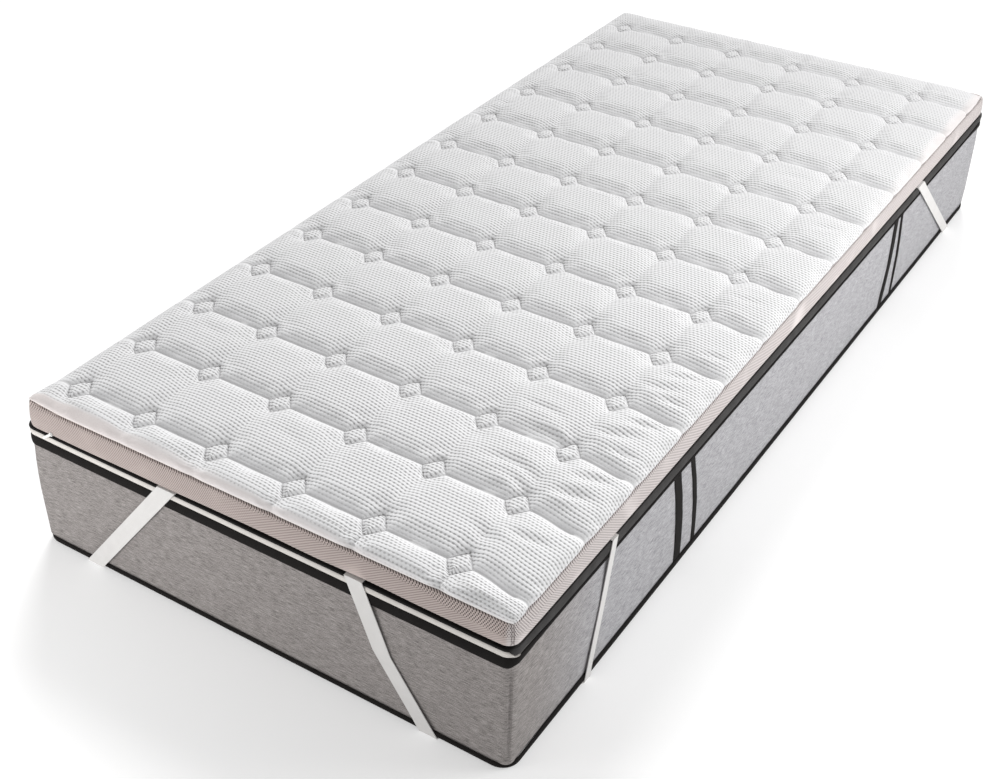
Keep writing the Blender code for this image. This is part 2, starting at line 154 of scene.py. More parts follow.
# The mesh strip: rows of points, and how far it lies in from the slab's faces at each share of its height
SIDE_CORNER = 0.018
SIDE_ROWS = (0.04, 0.12, 0.25, 0.4, 0.55, 0.7, 0.82, 0.91, 0.97)
SIDE_LEVELS = (0.0, 0.05, 0.12, 0.33, 0.62, 0.88, 0.96, 1.0)
LONG_INSET = (0.0045, 0.0016, 0.0004, 0.0, 0.0005, 0.0015, 0.0022, 0.0032)
END_INSET_ABOVE = (0.0, 0.0, 0.0, 0.0, 0.0004, 0.0020, 0.0032, 0.0045)
END_INSET_BELOW = (0.0045, 0.0016, 0.0004, 0.0, 0.0, 0.0, 0.0, 0.0)
UNEVEN = 0.0007

# Soft creases in the panel. Columns: middle X, middle Y, half length, turn in degrees, half width, depth
CREASES = (
    (0.285, -0.733, 0.070, -4, 0.010, 0.0051),
    (0.300, -0.758, 0.060, -7, 0.008, 0.0037),
    (0.395, -0.700, 0.045, 3, 0.009, 0.0044),
    (0.390, -0.745, 0.050, -5, 0.009, 0.0051),
    (0.385, -0.860, 0.050, -8, 0.008, 0.0041),
    (0.250, -0.590, 0.060, -10, 0.008, 0.0034),
    (0.370, -0.585, 0.055, 4, 0.009, 0.0048),
    (0.395, -0.545, 0.040, -6, 0.008, 0.0041),
    (0.370, -0.440, 0.050, -3, 0.008, 0.0037),
    (0.390, -0.400, 0.040, 6, 0.008, 0.0031),
    (0.110, -0.610, 0.050, 8, 0.009, 0.0019),
    (-0.020, -0.860, 0.055, -5, 0.010, 0.0017),
    (-0.310, -0.700, 0.045, 9, 0.009, 0.0017),
    (0.380, -0.130, 0.045, -4, 0.008, 0.0019),
    (0.395, 0.180, 0.040, 5, 0.008, 0.0017),
    (-0.395, 0.330, 0.035, -6, 0.008, 0.0017),
    (0.300, -0.640, 0.050, -6, 0.008, 0.0040),
    (0.405, -0.625, 0.035, -14, 0.007, 0.0040),
    (0.330, -0.880, 0.060, -6, 0.009, 0.0030),
    (0.405, -0.470, 0.035, -10, 0.007, 0.0034),
    (0.405, -0.320, 0.035, -8, 0.007, 0.0030),
    (0.270, 0.340, 0.050, 6, 0.009, 0.0014),
)

# Where each corner strap runs.
# Columns: name, side, end, distance from the middle of the end face at the top, halfway and at the bottom,
# distance from the middle of the long side at the top, halfway and at the bottom, width on the long side
STRAPS = (
    ("front_right", 1, -1, 0.193, 0.238, 0.316, 0.726, 0.753, 0.783, 0.0155),
    ("front_left", -1, -1, 0.150, 0.242, 0.334, 0.726, 0.753, 0.783, 0.0155),
    ("rear_right", 1, 1, 0.150, 0.242, 0.334, 0.575, 0.718, 0.861, 0.022),
    ("rear_left", -1, 1, 0.150, 0.242, 0.334, 0.575, 0.718, 0.861, 0.022),
)
STRAP_END_WIDTH = 0.027
STRAP_THICKNESS = 0.0012
STRAP_SEWN_END = 0.035
STRAP_SEWN_HEIGHT = 0.2341
STRAP_FLOOR_CLEARANCE = 0.0002
STRAP_STEPS = 14

# The zip's pull: its run across and its drop
ZIP_PULL_SIZE = (0.0200, 0.0150)
ZIP_TAB_WIDTH = 0.0042

# Vertical trim tapes. Columns: name, width, place along Y at the top and at the bottom, bow towards +Y
TRIM_TAPES = (
    ("front_wide", 0.023, -0.514, -0.482, 0.004),
    ("front_narrow", 0.013, -0.461, -0.424, 0.005),
    ("rear_wide", 0.021, 0.457, 0.444, 0.003),
    ("rear_narrow", 0.012, 0.489, 0.507, 0.003),
)
TRIM_THICKNESS = 0.0009
TRIM_TOP = 0.2028

# The mattress cover: rows of points, and how far its sides lie in at each height
COVER_CORNER = 0.014
COVER_ROWS = (0.004, 0.0118, 0.020, 0.045, 0.075, 0.105, 0.135, 0.165, 0.185, 0.1925, 0.2045, 0.2205, 0.2285)
COVER_HEIGHTS = (0.0, 0.006, 0.0118, 0.06, 0.11, 0.155, 0.193, 0.228, 0.2325, 0.235)
COVER_INSET = (0.0100, 0.0024, 0.0016, 0.0007, 0.0, 0.0006, 0.0017, 0.0020, 0.0060, 0.0200)
COVER_CROWN = 0.0035
CORNER_SEAM_DEPTH = 0.0020
CORNER_FOLD_HEIGHT = 0.0014
STRAP_DENT = 0.0024
STRAP_DENT_REACH = 0.022

# Sewn strips: thickness and corner of a tape, rows of its fold, and the part of a height's change that is
# made within the corner
TAPE_THICKNESS = 0.0012
TAPE_CORNER = 0.018
FOLD_ROWS = 2
CORNER_PART = 0.55

# The light piping: lower and upper heights on the ends and where it runs out on the sides
PIPING_ENDS = (0.2173, 0.2277)
PIPING_SIDES = (0.2130, 0.2136)

# The soft window light comes from beyond the head end, a little from the left
WINDOW_DIRECTION = (0.40, -0.70, -0.60)

# The camera that took the photograph: place, turn in degrees, lens and shift
CAMERA_PLACE = (1.1281, -2.1844, 1.6082)
CAMERA_TURN = (55.665, 0.07, 33.841)
CAMERA_LENS = 53.142
CAMERA_SHIFT = (0.0623, -0.0205)


# ---------------------------------------------------------------- modelling helpers

def deselect():
    if bpy.context.mode != "OBJECT":
        bpy.ops.object.mode_set(mode="OBJECT")
    bpy.ops.object.select_all(action="DESELECT")


def select_only(piece):
    deselect()
    piece.select_set(True)
    bpy.context.view_layer.objects.active = piece


def name_piece(name):
    """Name the primitive that was just added."""
    piece = bpy.context.object
    piece.name = name
    piece.data.name = name
    return piece


def apply_place(piece):
    """Put the piece's place, turn and size into its mesh."""
    select_only(piece)
    bpy.ops.object.transform_apply(location=True, rotation=True, scale=True)


def finish_modifiers(piece):
    select_only(piece)
    for modifier in list(piece.modifiers):
        bpy.ops.object.modifier_apply(modifier=modifier.name)


def read_points(piece):
    points = np.empty(len(piece.data.vertices) * 3, np.float32)
    piece.data.vertices.foreach_get("co", points)
    return points.reshape(-1, 3).astype(float)


def write_points(piece, points):
    piece.data.vertices.foreach_set("co", points.astype(np.float32).ravel())
    piece.data.update()


def select_faces(piece, wanted):
    """In edit mode, select the faces whose middle and normal satisfy a test."""
    bpy.ops.object.mode_set(mode="OBJECT")
    for face in piece.data.polygons:
        face.select = wanted(face.center, face.normal)
    for edge in piece.data.edges:
        edge.select = False
    for point in piece.data.vertices:
        point.select = False
    for face in piece.data.polygons:
        if face.select:
            for index in face.vertices:
                piece.data.vertices[index].select = True
    bpy.ops.object.mode_set(mode="EDIT")
    bpy.ops.mesh.select_mode(type="FACE")


def select_edges(piece, wanted):
    """In edit mode, select the edges whose two ends satisfy a test."""
    bpy.ops.object.mode_set(mode="OBJECT")
    points = piece.data.vertices
    for face in piece.data.polygons:
        face.select = False
    for point in points:
        point.select = False
    for edge in piece.data.edges:
        first, second = (points[index].co for index in edge.vertices)
        edge.select = wanted(first, second)
        if edge.select:
            for index in edge.vertices:
                points[index].select = True
    bpy.ops.object.mode_set(mode="EDIT")
    bpy.ops.mesh.select_mode(type="EDGE")


def cut_across(places, axis):
    """Cut the whole mesh by planes across an axis, with bisect."""
    normal = [float(index == axis) for index in range(3)]
    for place in places:
        bpy.ops.mesh.select_all(action="SELECT")
        centre = [place if index == axis else 0.0 for index in range(3)]
        bpy.ops.mesh.bisect(plane_co=centre, plane_no=normal)


def is_upright(first, second):
    return abs(first.x - second.x) + abs(first.y - second.y) < 1e-5 < abs(first.z - second.z)


def rounded_block(name, low, high, corner, segments):
    """A cube at its size and place, with bevelled upright edges. It is left in edit mode."""
    deselect()
    middle = [(a + b) / 2 for a, b in zip(low, high)]
    bpy.ops.mesh.primitive_cube_add(size=1, location=middle)
    piece = name_piece(name)
    piece.scale = [b - a for a, b in zip(low, high)]
    apply_place(piece)
    bpy.ops.object.mode_set(mode="EDIT")
    select_edges(piece, is_upright)
    bpy.ops.mesh.bevel(offset=corner, segments=segments, profile=0.5, affect="EDGES")
    return piece


def smooth(share):
    share = np.clip(share, 0.0, 1.0)
    return share * share * (3 - 2 * share)


def wander(points, wavelength, seed):
    """Gentle unevenness between -1 and 1 at each point."""
    shift = Vector((seed * 7.3, seed * 3.1, seed * 5.7))
    return np.array([noise.noise(Vector(point) / wavelength + shift) for point in points])


def shade(piece, degrees):
    select_only(piece)
    bpy.ops.object.shade_smooth_by_angle(angle=math.radians(degrees))


def dress(piece, material, slot, *nodes):
    """Give a finished piece its material, hang it under the root and hide the solids that it stands for. The
    slot is not used.
    """
    piece.data.materials.clear()
    piece.data.materials.append(material)
    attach(piece, "root")
    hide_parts(*nodes)


# ---------------------------------------------------------------- materials

# Settings of a node that goes softly from one value to another
SOFT_STEP = {"interpolation_type": "SMOOTHSTEP"}


def linear(hex_colour):
    """sRGB hex to a linear colour."""
    channels = []
    for start in (0, 2, 4):
        value = int(hex_colour[start:start + 2], 16) / 255
        channels.append(value / 12.92 if value <= 0.04045 else ((value + 0.055) / 1.055) ** 2.4)
    return (*channels, 1.0)


def add_node(tree, kind, inputs=(), output=None, **settings):
    """Add a node with its settings and links, and return the output asked for, or else its first.

    Its inputs come in order or by name, and each is a socket, or a plain number or colour.
    """
    made = tree.nodes.new("ShaderNode" + kind)
    for name, value in settings.items():
        setattr(made, name, value)
    named = inputs if isinstance(inputs, dict) else dict(enumerate(inputs))
    for socket, value in named.items():
        if isinstance(value, bpy.types.NodeSocket):
            tree.links.new(value, made.inputs[socket])
        else:
            made.inputs[socket].default_value = value
    if output:
        return made.outputs[output]
    return next(socket for socket in made.outputs if socket.enabled)


def new_material(name, roughness, sheen=0.0):
    """A material, its tree and its shader."""
    made = bpy.data.materials.new(name)
    made.use_nodes = True
    tree = made.node_tree
    shader = tree.nodes["Principled BSDF"]
    shader.inputs["Roughness"].default_value = roughness
    shader.inputs["Metallic"].default_value = 0.0
    shader.inputs["Sheen Weight"].default_value = sheen
    shader.inputs["Sheen Roughness"].default_value = 0.5
    return made, tree, shader


def object_place(tree):
    """The object's own coordinates, whole and as X, Y and Z."""
    place = add_node(tree, "TexCoord", output="Object")
    return place, *add_node(tree, "SeparateXYZ", (place,)).node.outputs


def combine(tree, *terms, start=0.0):
    """A first value and the sum of some patterns, each times its weight, which may be a pattern too."""
    total = start
    for pattern, weight in terms:
        total = add_node(tree, "Math", (pattern, weight, total), operation="MULTIPLY_ADD")
    return total


def wave(tree, place, length, operation="COSINE"):
    """A wave between -1 and 1 whose crests stand its length apart."""
    turned = add_node(tree, "Math", (place, 2 * math.pi / length), operation="MULTIPLY")
    return add_node(tree, "Math", (turned,), operation=operation)


def on_long_sides(tree, x, inner):
    """1 on the long sides, 0 on the ends, and soft between in 7 mm of each corner."""
    out = add_node(tree, "Math", (x,), operation="ABSOLUTE")
    return add_node(tree, "MapRange", (out, inner, inner + 0.007), **SOFT_STEP)


def finish_surface(tree, shader, relief, blend, other_blend=None, where=None):
    """Link the shader's relief and colour.

    The relief is a height, its strength and its depth in metres. A blend is a share and the two
    colours that it runs between. The other blend, where there is one, shows by a share of its own.
    """
    if relief:
        height, strength, distance = relief
        bump = add_node(tree, "Bump", {"Height": height, "Strength": strength, "Distance": distance})
        tree.links.new(bump, shader.inputs["Normal"])
    blends = (blend, other_blend) if other_blend else (blend,)
    colours = []
    for share, low, high in blends:
        ends = {"Factor": share, "A": linear(low), "B": linear(high)}
        colours.append(add_node(tree, "Mix", ends, data_type="RGBA"))
    if other_blend:
        layers = {"Factor": where, "A": colours[0], "B": colours[1]}
        colours.append(add_node(tree, "Mix", layers, data_type="RGBA"))
    tree.links.new(colours[-1], shader.inputs["Base Color"])


def stitched_lines(tree):
    """1 on the stitching round each diamond and along each row, 0 elsewhere."""
    seams = add_node(tree, "UVMap", uv_map="seams")
    across, along, _ = add_node(tree, "SeparateXYZ", (seams,)).node.outputs
    half_across, half_along = DIAMOND_HALF
    outline = combine(tree, (across, 1 / half_across), (along, 1 / half_along), start=-1.0)
    off_outline = add_node(tree, "Math", (outline,), operation="ABSOLUTE")
    on_outline = add_node(tree, "MapRange", (off_outline, 0.075, 0.015), **SOFT_STEP)
    on_row = add_node(tree, "MapRange", (along, 0.14 * half_along, 0.02 * half_along), **SOFT_STEP)
    outside = add_node(tree, "MapRange", (outline, 0.0, 0.1), **SOFT_STEP)
    row = combine(tree, (on_row, outside))
    return add_node(tree, "Math", (on_outline, row), operation="MAXIMUM")


def white_double_knit():
    """White polyester double knit, jacquard-knitted over a soft filler.

    Ribs run across the bed 6.9 mm apart, and each valley between them holds a broken line of pits,
    7.0 mm apart, in brick order. Shade in the valleys, the pits and the stitched grooves is painted into
    the colour as darker lines and dashes. Along the foot seam the knit is plain and slightly rosy.
    """
    rib_pitch = 0.0069
    dash_pitch = 0.0070
    made, tree, shader = new_material("white_double_knit", 0.92, 0.15)
    cut = add_node(tree, "UVMap", uv_map="cut")
    askew = add_node(tree, "Mapping", {"Vector": cut, "Rotation": (0, 0, 0.028)})
    across, along, _ = add_node(tree, "SeparateXYZ", (askew,)).node.outputs
    rib_wave = wave(tree, along, 2 * rib_pitch)
    bare_valley = add_node(tree, "Math", (rib_wave,), operation="ABSOLUTE")
    valley = add_node(tree, "Math", (bare_valley, 4.0), operation="POWER")
    way = add_node(tree, "Math", (rib_wave,), operation="SIGN")
    bricks = combine(tree, (wave(tree, across, dash_pitch), way))
    dash = add_node(tree, "MapRange", (bricks, -0.25, 0.75), **SOFT_STEP)
    fuzz = add_node(tree, "TexNoise", {"Vector": cut, "Scale": 420.0, "Detail": 2.0})
    cloud = add_node(tree, "TexNoise", {"Vector": cut, "Scale": 9.0, "Detail": 1.0})
    depth = combine(tree, (cloud, 0.5), start=0.70)
    plain = add_node(tree, "Attribute", output="Fac", attribute_name="plain")
    rosy = add_node(tree, "Attribute", output="Fac", attribute_name="rosy")
    shown = combine(tree, (plain, -1.0), start=1.0)
    ribbed = combine(tree, (valley, shown))
    pit = combine(tree, (combine(tree, (dash, depth)), ribbed))
    stitching = stitched_lines(tree)
    # The darker share of the colour is painted shade in the rib valleys, the pits and the stitched grooves,
    # over a fine random fuzz
    shaded = combine(tree, (ribbed, 0.14), (pit, 0.42), (stitching, 0.24), (fuzz, 0.14))
    height = combine(tree, (fuzz, 0.15), (ribbed, -0.70), (pit, -0.80), (stitching, -0.70))
    finish_surface(tree, shader, (height, 0.9, 0.0012), (shaded, "E9E9EA", "83807F"),
                   (fuzz, "CCC4C2", "E0D9D7"), rosy)
    return made


def spacer_mesh():
    """Pinkish polyester spacer mesh, warp-knitted, with painted light: paler on the long sides than the ends.

    Dark holes stand 4.7 mm apart in staggered rows under the upper seam, in a deeper patch at the front
    right corner. Lower down they draw out into fine slanting lines. A double row of dark stitches
    closes the strip at that corner.
    """
    hole_pitch = 0.0047
    hole_rows = 0.0060
    stitch_row = 0.0065
    made, tree, shader = new_material("pinkish_spacer_mesh", 0.85, 0.1)
    place, x, y, z = object_place(tree)
    round_it = combine(tree, (x, 1.0), start=y)
    staggered = combine(tree, (wave(tree, round_it, hole_pitch), wave(tree, z, hole_rows)))
    hole = add_node(tree, "MapRange", (staggered, 0.05, 0.50), **SOFT_STEP)

    def drawn_lines(across, onward, pitch):
        """Fine lines whose slant over a face is the level run of Z against X or Y."""
        level = combine(tree, (x, across), (y, onward), start=z)
        return add_node(tree, "MapRange", (wave(tree, level, pitch, "SINE"), -0.4, 0.8), **SOFT_STEP)

    right_part = add_node(tree, "MapRange", (x, -0.12, 0.05), **SOFT_STEP)
    left_part = combine(tree, (right_part, -1.0), start=1.0)
    shallow = drawn_lines(-0.41, 0.70, 0.0030)
    slanting = drawn_lines(1.58, 0.70, 0.0071)
    line = combine(tree, (shallow, right_part), (slanting, left_part))

    # the holes reach down from the upper seam in uneven patches, and deepest at the front right corner
    patches = add_node(tree, "TexNoise", {"Vector": place, "Scale": 18.0, "Detail": 2.0})
    off_corner = combine(tree, (x, -1.0), (y, 1.0), start=SIDE_HIGH.x - SIDE_LOW.y)
    by_corner = add_node(tree, "MapRange", (off_corner, 0.22, 0.03), **SOFT_STEP)
    reach = combine(tree, (by_corner, 0.016), (patches, 0.014), start=z)
    upper = add_node(tree, "MapRange", (reach, SIDE_HIGH.z - 0.001, SIDE_HIGH.z + 0.007), **SOFT_STEP)
    fade = add_node(tree, "TexNoise", {"Vector": place, "Scale": 11.0, "Detail": 1.0})
    shown = add_node(tree, "MapRange", (fade, 0.22, 0.46), **SOFT_STEP)
    drawn = combine(tree, (line, combine(tree, (upper, -0.50), start=0.72)))
    pattern = combine(tree, (hole, upper), (drawn, shown))

    # two ragged rows of stitches, one on either side of the corner's seam
    ragged = add_node(tree, "TexNoise", {"Vector": place, "Scale": 160.0, "Detail": 1.0})
    from_seam = combine(tree, (round_it, 1.0), start=-(SIDE_HIGH.x + SIDE_LOW.y))
    off_seam = add_node(tree, "Math", (from_seam,), operation="ABSOLUTE")
    from_row = combine(tree, (off_seam, 1.0), (patches, 0.0030), (ragged, 0.0050), start=-stitch_row)
    off_row = add_node(tree, "Math", (from_row,), operation="ABSOLUTE")
    double = add_node(tree, "MapRange", (off_row, 0.0022, 0.0004), **SOFT_STEP)
    at_corner = add_node(tree, "MapRange", (off_corner, 0.030, 0.020), **SOFT_STEP)
    shaded = combine(tree, (combine(tree, (double, at_corner)), 0.55), start=pattern)
    height = combine(tree, (shaded, -1.0))
    # The paler second pair of colours on the long sides is painted light
    finish_surface(tree, shader, (height, 0.6, 0.0006), (shaded, "BFB1AC", "3A2E2A"),
                   (shaded, "D5CDCB", "615755"), on_long_sides(tree, x, SIDE_HIGH.x - 0.016))
    return made


def grey_melange():
    """Grey melange upholstery cloth: plain woven of slubby yarns about 1 mm apart.

    Light and dark lengths of 10 to 20 mm in the level yarns give it its fine streaks. Painted light makes
    the long sides cooler and paler than the ends, but for a run beside the front corners.
    """
    # Level yarns, upright yarns, long slubs and mottling.
    # Columns: changes in a metre along the cloth and upwards, detail, weight
    yarns = (
        (75.0, 760.0, 2.0, 0.48),
        (800.0, 330.0, 1.0, 0.24),
        (30.0, 400.0, 2.0, 0.16),
        (30.0, 45.0, 2.0, 0.08),
    )
    made, tree, shader = new_material("grey_melange_weave", 0.95, 0.1)
    _, x, y, z = object_place(tree)
    flat = add_node(tree, "CombineXYZ", (combine(tree, (x, 1.0), start=y), z))
    patterns = []
    for along, upward, detail, weight in yarns:
        scaled = add_node(tree, "Mapping", {"Vector": flat, "Scale": (along, upward, 1.0)})
        noise_inputs = {"Vector": scaled, "Scale": 1.0, "Detail": detail, "Roughness": 0.6}
        patterns.append((add_node(tree, "TexNoise", noise_inputs), weight))
    mixed = combine(tree, *patterns)
    share = add_node(tree, "MapRange", (mixed, 0.37, 0.63))
    # Painted light: the long sides, but for a run by the foot end, take a cooler, paler pair of colours
    off_foot = add_node(tree, "MapRange", (y, -0.97, -0.70), **SOFT_STEP)
    painted_side_light = combine(tree, (on_long_sides(tree, x, HALF_WIDTH - 0.012), off_foot))
    finish_surface(tree, shader, (mixed, 0.5, 0.0006), (share, "5F5A58", "ADA7A4"),
                   (share, "747376", "C6C5C8"), painted_side_light)
    return made


def woven_tape(name, dark, light, pitch, roughness, sheen, gloss=0.5, painted_lit_sides=None):
    """Woven tape: fine ribs across its run, so fine that they only soften its gloss.

    A tape can have a second, paler pair of colours on the long sides: painted light, where they catch more
    light.
    """
    made, tree, shader = new_material(name, roughness, sheen)
    shader.inputs["Specular IOR Level"].default_value = gloss
    place, x, y, z = object_place(tree)
    slant = combine(tree, (x, 1.0), (y, 1.0), start=z)
    ribs = wave(tree, slant, pitch, "SINE")
    wear = add_node(tree, "TexNoise", {"Vector": place, "Scale": 45.0, "Detail": 3.0})
    share = combine(tree, (ribs, 0.22), start=wear)
    blends = [(share, dark, light)]
    # Painted light: the long sides take a paler pair of colours, as if more lit than the ends
    if painted_lit_sides:
        blends += [(share, *painted_lit_sides), on_long_sides(tree, x, HALF_WIDTH - 0.010)]
    finish_surface(tree, shader, (ribs, 0.35, 0.0003), *blends)
    return made


def moulded_nylon():
    """White moulded nylon: smooth, with a faint orange-peel from the mould."""
    made, tree, shader = new_material("white_moulded_nylon", 0.35)
    place = add_node(tree, "TexCoord", output="Object")
    peel = add_node(tree, "TexNoise", {"Vector": place, "Scale": 900.0})
    finish_surface(tree, shader, (peel, 0.2, 0.0002), (peel, "DEDEDC", "EFEFED"))
    return made


def studio_floor():
    """Matt white paper sweep, very slightly mottled, that glows a little: painted light that lifts its
    shadows.
    """
    made, tree, shader = new_material("glowing_paper_floor", 0.9)
    place = add_node(tree, "TexCoord", output="Object")
    mottle = add_node(tree, "TexNoise", {"Vector": place, "Scale": 1.5, "Detail": 2.0})
    finish_surface(tree, shader, None, (mottle, "D2D2D2", "D6D6D6"))
    # Painted light: the floor glows a little, which lifts its shadows and lights the bed from below
    shader.inputs["Emission Color"].default_value = (1.0, 1.0, 1.0, 1.0)
    shader.inputs["Emission Strength"].default_value = 0.40
    return made


# ---------------------------------------------------------------- the quilted panel

def line_places(diamonds, half, low, high, low_edge, high_edge):
    """Grid lines along one axis of the panel.

    Returns each line's place, its share of the height, its place in the flat cut, and how many lines
    it stands from the middle of the nearest diamond.
    """
    far = DIAMOND_PARTS + 1
    lines = [(low + inset, share, low + flat, far) for inset, share, flat in low_edge]

    def fill(end, after_diamond, before_diamond):
        start = lines[-1][0]
        first = [start + step for step in FIRST_STEPS] if after_diamond else []
        last = [end - step for step in reversed(FIRST_STEPS)] if before_diamond else []
        if (first or [start])[-1] >= (last or [end])[0]:
            first, last = first[:1], []
        low_end = (first or [start])[-1]
        high_end = (last or [end])[0]
        count = max(round((high_end - low_end) / CELL_STEP), 1)
        between = [low_end + (high_end - low_end) * step / count for step in range(1, count)]
        lines.extend((place, 1.0, place, far) for place in first + between + last)

    for number, middle in enumerate(diamonds):
        fill(middle - half, number > 0, True)
        for step in range(-DIAMOND_PARTS, DIAMOND_PARTS + 1):
            place = middle + half * step / DIAMOND_PARTS
            lines.append((place, 1.0, place, abs(step)))
    fill(high - high_edge[-1][0], True, False)
    lines += [(high - inset, share, high - flat, far) for inset, share, flat in reversed(high_edge)]
    return [np.array(column) for column in zip(*lines)]


def steep(share, power):
    """Rises steeply from 0 and levels off at 1, as filling does beside a seam."""
    return (1 - (1 - np.clip(share, 0.0, 1.0)) ** power) ** (1 / power)


def offset_from(values, places):
    """Signed distance to the nearest of some places."""
    gaps = values[:, None] - np.array(places)
    return gaps[np.arange(len(values)), np.abs(gaps).argmin(axis=1)]


def quilted_height(across, along, foot_pull):
    """Height of the panel over its seam, before it is blown up, by the distances from its diamonds.

    Between the first row of diamonds and the foot end the columns lie in narrow valleys, as deep as
    the pull of the foot seam.
    """
    reach = np.where(along > 0, NEAR_REACH, FAR_REACH)
    rows = steep(np.abs(along) / reach, WALL_POWER)
    valley = COLUMN_VALLEY * (1 - np.clip(np.abs(across) / COLUMN_REACH, 0.0, 1.0)) ** 1.6
    end_valley = END_VALLEY * foot_pull * (1 - steep(np.abs(across) / END_VALLEY_REACH, 1.8))
    valley = np.maximum(valley, end_valley)
    outline = np.abs(across) / DIAMOND_HALF[0] + np.abs(along) / DIAMOND_HALF[1]
    corners = steep((outline - 1) / np.where(along > 0, NEAR_CORNER_REACH, FAR_CORNER_REACH), WALL_POWER)
    puff = (np.maximum(rows * (1 - valley), 1e-3) ** -6 + np.maximum(corners, 1e-3) ** -6) ** (-1 / 6)
    crown = CROWN_HEIGHT * smooth(np.abs(along) / PUFF_MARGIN) * (1 - valley)
    inner = (DIAMOND_PARTS - 1) / DIAMOND_PARTS
    raised = np.clip((1 - outline) / (1 - inner), 0.0, 1.0)
    diamond = DIAMOND_HEIGHT * raised + DIAMOND_DOME * np.clip(inner - outline, 0.0, 1.0)
    return GROOVE_HEIGHT + np.where(outline < 1, diamond, WALL_HEIGHT * puff + crown)


def round_off(x, y, half_width, half_length, corner):
    """Move points of a plain rectangle to their places in one with round corners."""
    across = np.maximum(np.abs(x) - (half_width - corner), 0.0)
    along = np.maximum(np.abs(y) - (half_length - corner), 0.0)
    reach = np.hypot(across, along)
    in_corner = (across > 0) & (along > 0)
    shrink = np.maximum(across, along) / np.maximum(reach, 1e-9)
    x = np.where(in_corner, np.copysign(half_width - corner + across * shrink, x), x)
    y = np.where(in_corner, np.copysign(half_length - corner + along * shrink, y), y)
    return x, y


def drawn_in(x, y):
    """Share of the topper's left side that is drawn in: all of it at the foot end, none at the head end."""
    leftward = np.clip((DRAWN_IN_FROM - x) / (DRAWN_IN_FROM - QUILT_LOW.x), 0.0, 1.0)
    return leftward * np.interp(y, (-1.0, 0.5), (1.0, 0.0))


def corner_rise(x, y):
    """How much taller the mesh strip stands near the left front corner."""
    return CORNER_RISE * smooth(1 - np.hypot(x - SIDE_LOW.x, y - SIDE_LOW.y) / CORNER_RISE_REACH)


def write_map(piece, name, places):
    """Write a flat map of the piece, given a place for each point of its mesh."""
    layers = piece.data.uv_layers
    layer = layers.get(name) or layers.new(name=name)
    corner_points = np.empty(len(piece.data.loops), np.int32)
    piece.data.loops.foreach_get("vertex_index", corner_points)
    layer.data.foreach_set("uv", places[corner_points].astype(np.float32).ravel())


def follow_cloth(points, i, j, y_flat, x_flat, seam_rows):
    """Places in the flat cut that keep the knit's rows evenly spaced over each puff's curve."""
    order = np.lexsort((j, i))
    columns = i.max() + 1
    grid = points[order].reshape(columns, -1, 3)
    run = np.zeros(grid.shape[:2])
    run[:, 1:] = np.cumsum(np.linalg.norm(np.diff(grid, axis=1), axis=2), axis=1)
    stops = [0, *seam_rows, grid.shape[1] - 1]
    along = np.zeros_like(run)
    start = y_flat[0]
    for low, high in zip(stops, stops[1:]):
        part = (run[:, low:high + 1] - run[:, low:low + 1]) / (run[:, high] - run[:, low])[:, None]
        length = (y_flat[high] - y_flat[low]) * KNIT_TAKE_UP
        along[:, low:high + 1] = start + part * length
        start += length
    flat = np.empty((len(points), 2))
    flat[order, 0] = np.repeat(x_flat, grid.shape[1])
    flat[order, 1] = along.ravel()
    return flat


def make_seam_edges(panel, i_hops, j_hops, share, in_valley):
    """Join the points of each diamond's outline and rim with edges, and crease the stitched ones."""
    hops = i_hops + j_hops
    select_only(panel)
    for ring in (DIAMOND_PARTS, DIAMOND_PARTS - 1):
        bpy.ops.object.mode_set(mode="EDIT")
        bpy.ops.mesh.select_mode(type="VERT")
        bpy.ops.mesh.select_all(action="DESELECT")
        bpy.ops.object.mode_set(mode="OBJECT")
        panel.data.vertices.foreach_set("select", hops == ring)
        bpy.ops.object.mode_set(mode="EDIT")
        bpy.ops.mesh.vert_connect()
        bpy.ops.object.mode_set(mode="OBJECT")
    ends = np.empty(len(panel.data.edges) * 2, np.int32)
    panel.data.edges.foreach_get("vertices", ends)
    ends = ends.reshape(-1, 2)
    row = (j_hops == 0) & (i_hops >= DIAMOND_PARTS) & (share == 1.0)
    valley = in_valley & (j_hops >= DIAMOND_PARTS)
    seams = [group[ends].all(axis=1) for group in (hops == DIAMOND_PARTS, row, valley)]
    crease = np.where(np.any(seams, axis=0), 0.9, 0.0)
    crease = np.maximum(crease, 0.6 * (hops == DIAMOND_PARTS - 1)[ends].all(axis=1))
    layer = panel.data.attributes.new("crease_edge", "FLOAT", "EDGE")
    layer.data.foreach_set("value", crease.astype(np.float32))


